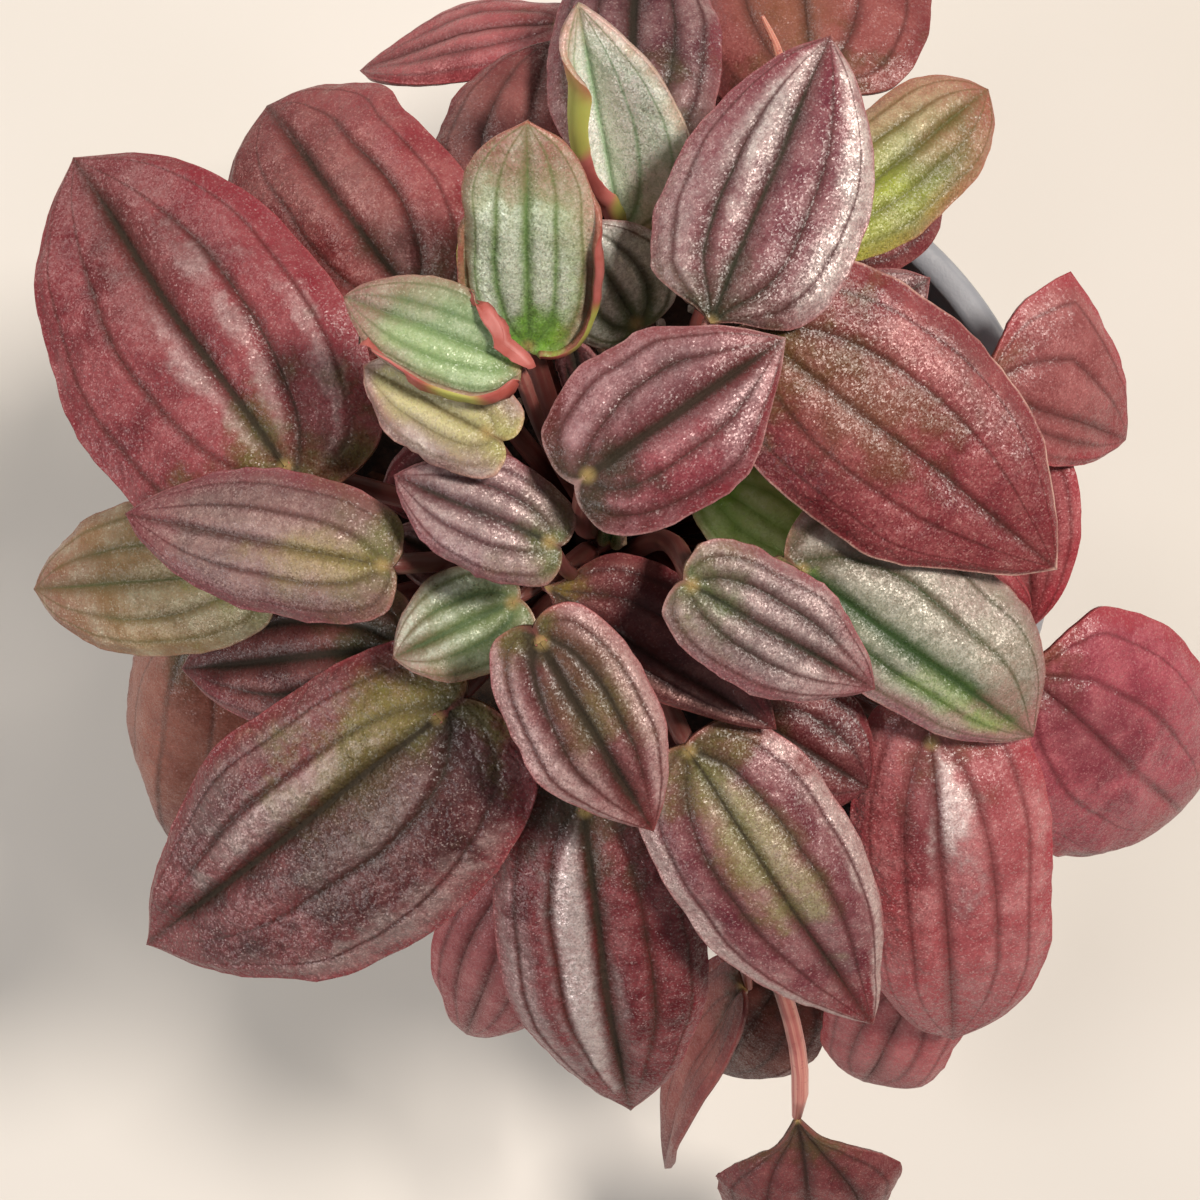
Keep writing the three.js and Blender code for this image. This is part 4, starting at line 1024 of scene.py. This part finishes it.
def stalkFlesh(name, flesh, pale, dark, agedAndShadedSkin, speckle):
    # juicy leaf stalk: smooth, slightly see-through skin with faint lengthwise streaks
    material, tree, shader, place = newMaterial(name)
    stretched = stretch(tree, uvMap(tree, "surface"), (9.0, 2.0, 1.0))
    streaks = clouds(tree, stretched, 1.6, 3.0)
    skin = mixColour(tree, fade(tree, streaks, 0.35, 0.65), flesh, pale)
    skin = lay(tree, skin, dark, clouds(tree, place, 120.0), 0.45, 0.75, 0.0, 0.7)
    skin = lay(tree, skin, dark, clouds(tree, place, 1300.0, 1.0), 0.62, 0.7, 0.0, speckle)
    # darker and browner near the crown: partly older skin, partly painted shade deep under the leaves
    fromCrown = (vectorMath(tree, "DISTANCE", place, (-0.01, -0.003, 0.1)), "Value")
    skin = lay(tree, skin, agedAndShadedSkin, fromCrown, 0.045, 0.085, 0.88, 0.0)
    setSockets(tree, shader, {
        "Base Color": skin, "Roughness": 0.38, "IOR": 1.42, "Subsurface Weight": 0.25,
        "Subsurface Radius": (0.002, 0.0008, 0.0006), "Subsurface Scale": 1.0,
        "Normal": relief(tree, streaks, 0.35, 0.0003)})
    return material


def makeStalks():
    form = stalkForm
    # each root is moved out a little by the same row of draws as in the solids
    draw, factor, step, limit = 21, 1664525, 1013904223, 2 ** 32
    bm = bmesh.new()
    for leaf in leaves:
        draw = (draw * factor + step) % limit
        points = stalkPath(leaf, draw / limit)
        thick = form["radius"] * form["slender"][leaf["size"]]
        # thickest at the root, and drawn in where it meets the blade
        tube(bm, lambda u: bezier(points, u),
             lambda u: thick * (1.18 - 0.3 * u + 0.14 * u * u) * (0.6 if u == 1 else 1),
             form["sides"], form["steps"])
    finishPiece("leafStalks", bm, [stalkFlesh("juicy stalk flesh", *form["stalk"])], ["stems"])


def makeCrown():
    # the knobbly base that the stalks leave
    form = stalkForm
    cx, cy = form["crownCentre"]
    foot = form["soilHeight"] - form["crownDepth"]
    height = form["crownTop"] - form["soilHeight"] + form["crownDepth"] + 0.5

    def place(u, v):
        angle = u * math.tau
        r = form["crownRadius"] * (1.02 - 1.02 * v ** 2.2)
        knob = noise.noise(Vector((math.cos(angle) * 2.2, math.sin(angle) * 2.2, v * 4))) * form["knob"]
        knob *= min(1, 4 * (1 - v))
        out = r + knob * 0.6
        z = foot + height * min(1, v * 1.25) ** 0.7 + knob * 0.5
        return Vector((cx + math.cos(angle) * out, cy + math.sin(angle) * out, z)) * mm, ((u, v),)

    bm = bmesh.new()
    shapeGrid(bm, *form["crownSteps"], place)
    bmesh.ops.remove_doubles(bm, verts=bm.verts, dist=1e-5)
    bmesh.ops.holes_fill(bm, edges=bm.edges, sides=0)
    bmesh.ops.recalc_face_normals(bm, faces=bm.faces)
    finishPiece("crown", bm, [stalkFlesh("corky crown skin", *form["crown"])])


def makeSpike():
    # flower spike: a thin rat-tail, a little thicker and then tapering where its tiny flowers crowd
    form = stalkForm
    path = [Vector(p) for p in form["spikePath"]]

    def along(u):
        place = min(u, 0.999999) * (len(path) - 1)
        i = int(place)
        return spline(path[max(i - 1, 0)], path[i], path[i + 1], path[min(i + 2, len(path) - 1)], place - i)

    def thickness(u):
        past = u - form["spikeFlowers"]
        return form["spikeRadius"] * (1.0 if past < 0 else max(0.25, 1.22 - 3.2 * past))

    bm = bmesh.new()
    tube(bm, along, thickness, *form["spikeSteps"])
    finishPiece("flowerSpike", bm, [stalkFlesh("crowded spike flowers", *form["spike"])])


makeStalks()
makeCrown()
makeSpike()
print("stalks ready")


soilForm = {
    "height": 83,
    "bottom": 2.3,
    "bottomRadius": 35.1,
    "edgeRadius": 48.9,
    "edgeDrop": 2.2,  # the top rounds down to the wall from this share of its radius on
    "edgeFrom": 0.94,
    "lump": 0.9,
    "lumpSizes": (5.5, 2.2),
    "topShare": 0.72,  # rows of the mesh on the top, then rows on the wall among the rest
    "wallShare": 0.7,
    "steps": (120, 70),
    "peat": ("#17100d", "#3a2a20"),
    "crumb": "#4c3a2c",
    "seed": 7,
    "scatterRadius": 46,
    "knobbly": 0.25,
    # count, smallest and largest radius, flatness, light and dark colour, what it is made of
    "grains": {
        "perliteGrains": (46, (0.8, 1.7), 0.85, "#d8d2c6", "#a89f90", "expanded perlite"),
        "barkChips": (60, (1.2, 2.6), 0.35, "#5a4030", "#2b1d15", "composted bark"),
    },
}


def soilMaterial():
    # damp peat and fine bark: nearly black, rough, with paler dry crumbs
    material, tree, shader, place = newMaterial("damp peat mix")
    lumps = clouds(tree, place, 320.0, 6.0, Roughness=0.65)
    crumbs = addNode(tree, "ShaderNodeTexVoronoi", None, {"Vector": place, "Scale": 700.0})
    skin = mixColour(tree, fade(tree, lumps, 0.35, 0.68), *soilForm["peat"])
    skin = lay(tree, skin, soilForm["crumb"], (crumbs, "Distance"), 0.0, 0.35, 0.45, 0.0)
    bump = relief(tree, lumps, 0.9, 0.0012)
    setSockets(tree, shader, {"Base Color": skin, "Roughness": 0.92, "Normal": bump})
    return material


def grainMaterial(name, light, dark):
    material, tree, shader, place = newMaterial(name)
    skin = mixColour(tree, fade(tree, clouds(tree, place, 900.0), 0.35, 0.65), dark, light)
    setSockets(tree, shader, {"Base Color": skin, "Roughness": 0.9})
    return material


def soilHeightAt(x, y):
    coarse, fine = soilForm["lumpSizes"]
    lump = noise.noise(Vector((x / coarse, y / coarse, 1.3)))
    lump += 0.5 * noise.noise(Vector((x / fine, y / fine, 4.1)))
    return soilForm["height"] + soilForm["lump"] * lump


def makeSoil():
    form = soilForm
    shoulder = form["height"] - form["edgeDrop"]

    def place(u, v):
        angle = u * math.tau
        if v < form["topShare"]:
            share = v / form["topShare"]
            r = form["edgeRadius"] * share
            x, y = math.cos(angle) * r, math.sin(angle) * r
            rounding = max(0, share - form["edgeFrom"]) / (1 - form["edgeFrom"])
            z = soilHeightAt(x, y) - form["edgeDrop"] * rounding
        else:
            share = (v - form["topShare"]) / (1 - form["topShare"])
            down = min(1, share / form["wallShare"])
            r = form["edgeRadius"] + (form["bottomRadius"] - form["edgeRadius"]) * down
            r *= 1 - max(0, (share - form["wallShare"]) / (1 - form["wallShare"]))
            x, y = math.cos(angle) * r, math.sin(angle) * r
            z = shoulder - (shoulder - form["bottom"]) * down
        return Vector((x, y, z)) * mm, ((u, v),)

    bm = bmesh.new()
    shapeGrid(bm, *form["steps"], place)
    bmesh.ops.recalc_face_normals(bm, faces=bm.faces)
    finishPiece("pottingMix", bm, [soilMaterial()], ["soil"])


def scatterGrains():
    # loose grains lie on the soil, turned and squashed at random
    rng = random.Random(soilForm["seed"])
    for name, (count, sizes, flat, light, dark, stuff) in soilForm["grains"].items():
        bm = bmesh.new()
        for _ in range(count):
            angle = rng.uniform(0, math.tau)
            r = soilForm["scatterRadius"] * math.sqrt(rng.random())
            x, y = math.cos(angle) * r, math.sin(angle) * r
            radius = rng.uniform(*sizes)
            made = bmesh.ops.create_icosphere(bm, subdivisions=1, radius=radius * mm)["verts"]
            bmesh.ops.scale(bm, vec=(1, rng.uniform(0.6, 1), flat), verts=made)
            turned = Matrix.Rotation(rng.uniform(0, 6), 3, "Z")
            turned = turned @ Matrix.Rotation(rng.uniform(-0.5, 0.5), 3, "X")
            bmesh.ops.rotate(bm, cent=(0, 0, 0), matrix=turned, verts=made)
            for vert in made:
                vert.co *= 1 + soilForm["knobbly"] * noise.noise(vert.co / mm * 0.9 + Vector((x, y, 0)))
            place = Vector((x, y, soilHeightAt(x, y) + radius * flat * 0.4))
            bmesh.ops.translate(bm, vec=place * mm, verts=made)
        finishPiece(name, bm, [grainMaterial(stuff, light, dark)], rounded=False)


makeSoil()
scatterGrains()
print("soil ready")


potForm = {
    "rimRadius": 55,
    "rimHeight": 95,
    "footRadius": 38,
    "wall": 1.6,
    "floor": 2,
    "lipDepth": 8,
    "lipWidth": 4.4,
    # two shallow moulded steps in the wall: the heights at which they start, and how deep they are
    "mouldedSteps": (12, 70),
    "mouldedDepth": 0.25,
    "drainHoles": 8,
    "drainRing": 26,
    "drainRadius": 3.5,
    "steps": 144,
    "colour": "#868990",
    "colourWorn": "#91949a",
    "colourScuff": "#b4b6ba",
    "colourDust": "#6f6a63",
}


def potMaterial():
    # moulded polypropylene: dull satin skin with a fine grain, light scuffs and a little soil dust
    material, tree, shader, place = newMaterial("moulded polypropylene")
    broad = clouds(tree, place, 45.0, 4.0)
    fine = clouds(tree, place, 2200.0)
    scuffs = clouds(tree, stretch(tree, place, (60.0, 60.0, 900.0)), 1.0, 3.0)
    skin = mixColour(tree, fade(tree, broad, 0.35, 0.7), potForm["colour"], potForm["colourWorn"])
    skin = lay(tree, skin, potForm["colourScuff"], scuffs, 0.6, 0.75, 0.0, 0.35)
    skin = lay(tree, skin, potForm["colourDust"], broad, 0.5, 0.72, 0.0, 0.35)
    setSockets(tree, shader, {"Base Color": skin, "Roughness": fade(tree, scuffs, 0.4, 0.7, 0.42, 0.6),
                              "IOR": 1.49, "Normal": relief(tree, fine, 0.25, 0.0002)})
    return material


def drillHoles(pot):
    form = potForm
    cutter = bmesh.new()
    for i in range(form["drainHoles"]):
        angle = i / form["drainHoles"] * math.tau
        spot = Vector((math.cos(angle), math.sin(angle), 0)) * form["drainRing"] * mm
        radius = form["drainRadius"] * mm
        bmesh.ops.create_cone(cutter, cap_ends=True, segments=32, radius1=radius, radius2=radius,
                              depth=0.012, matrix=Matrix.Translation(spot))
    drill = makeObject("drainHoles", cutter, rounded=False)
    cut = pot.modifiers.new("drainHoles", "BOOLEAN")
    cut.object = drill
    cut.solver = "EXACT"
    bpy.context.view_layer.update()
    shaped = bpy.data.meshes.new_from_object(pot.evaluated_get(bpy.context.evaluated_depsgraph_get()))
    pot.modifiers.clear()
    pot.data = shaped
    bpy.data.objects.remove(drill)


def makePot():
    form = potForm
    rim, top, foot = form["rimRadius"], form["rimHeight"], form["footRadius"]
    lipInner = rim - form["lipWidth"]
    lipBottom = top - form["lipDepth"]
    wallTop = lipInner + form["wall"]

    def outer(z):
        # radius of the outer wall at a height
        low, high = 0.8, lipBottom - 1.2
        return foot + (wallTop - 0.4 - foot) * (z - low) / (high - low)

    profile = [(0, 0), (foot - 1.2, 0), (foot - 0.4, 0.2), (foot, 0.8)]
    depth = form["mouldedDepth"]
    for z in form["mouldedSteps"]:
        # wall's height, point's height and depth of cut
        for at, up, cut in ((0, 0, 0), (0, 0.6, depth), (2, 2, depth), (2.6, 2.6, 0)):
            profile.append((outer(z + at) - cut, z + up))
    profile += [
        (wallTop - 0.4, lipBottom - 1.2),
        (wallTop + 0.2, lipBottom - 0.4),
        (rim - 1.4, lipBottom - 0.1),
        (rim - 0.9, lipBottom + 0.3),
        (rim - 0.1, top - 2.2),
        (rim, top - 1.4),
        (rim - 0.35, top - 0.5),
        (rim - 1.3, top),
        (lipInner + 1.3, top),
        (lipInner + 0.3, top - 0.4),
        (lipInner, top - 1.3),
        (lipInner - 0.7, lipBottom - 1.2),
        (foot - form["wall"], form["floor"]),
        (0, form["floor"]),
    ]
    bm = bmesh.new()
    verts = [bm.verts.new(Vector((r, 0, z)) * mm) for r, z in profile]
    edges = [bm.edges.new(pair) for pair in zip(verts, verts[1:])]
    bmesh.ops.spin(bm, geom=verts + edges, cent=(0, 0, 0), axis=(0, 0, 1), angle=math.tau,
                   steps=form["steps"], use_merge=True)
    bmesh.ops.remove_doubles(bm, verts=bm.verts, dist=1e-6)
    bmesh.ops.recalc_face_normals(bm, faces=bm.faces)
    drillHoles(finishPiece("nurseryPot", bm, [potMaterial()], ["pot"]))


makePot()
print("pot ready")
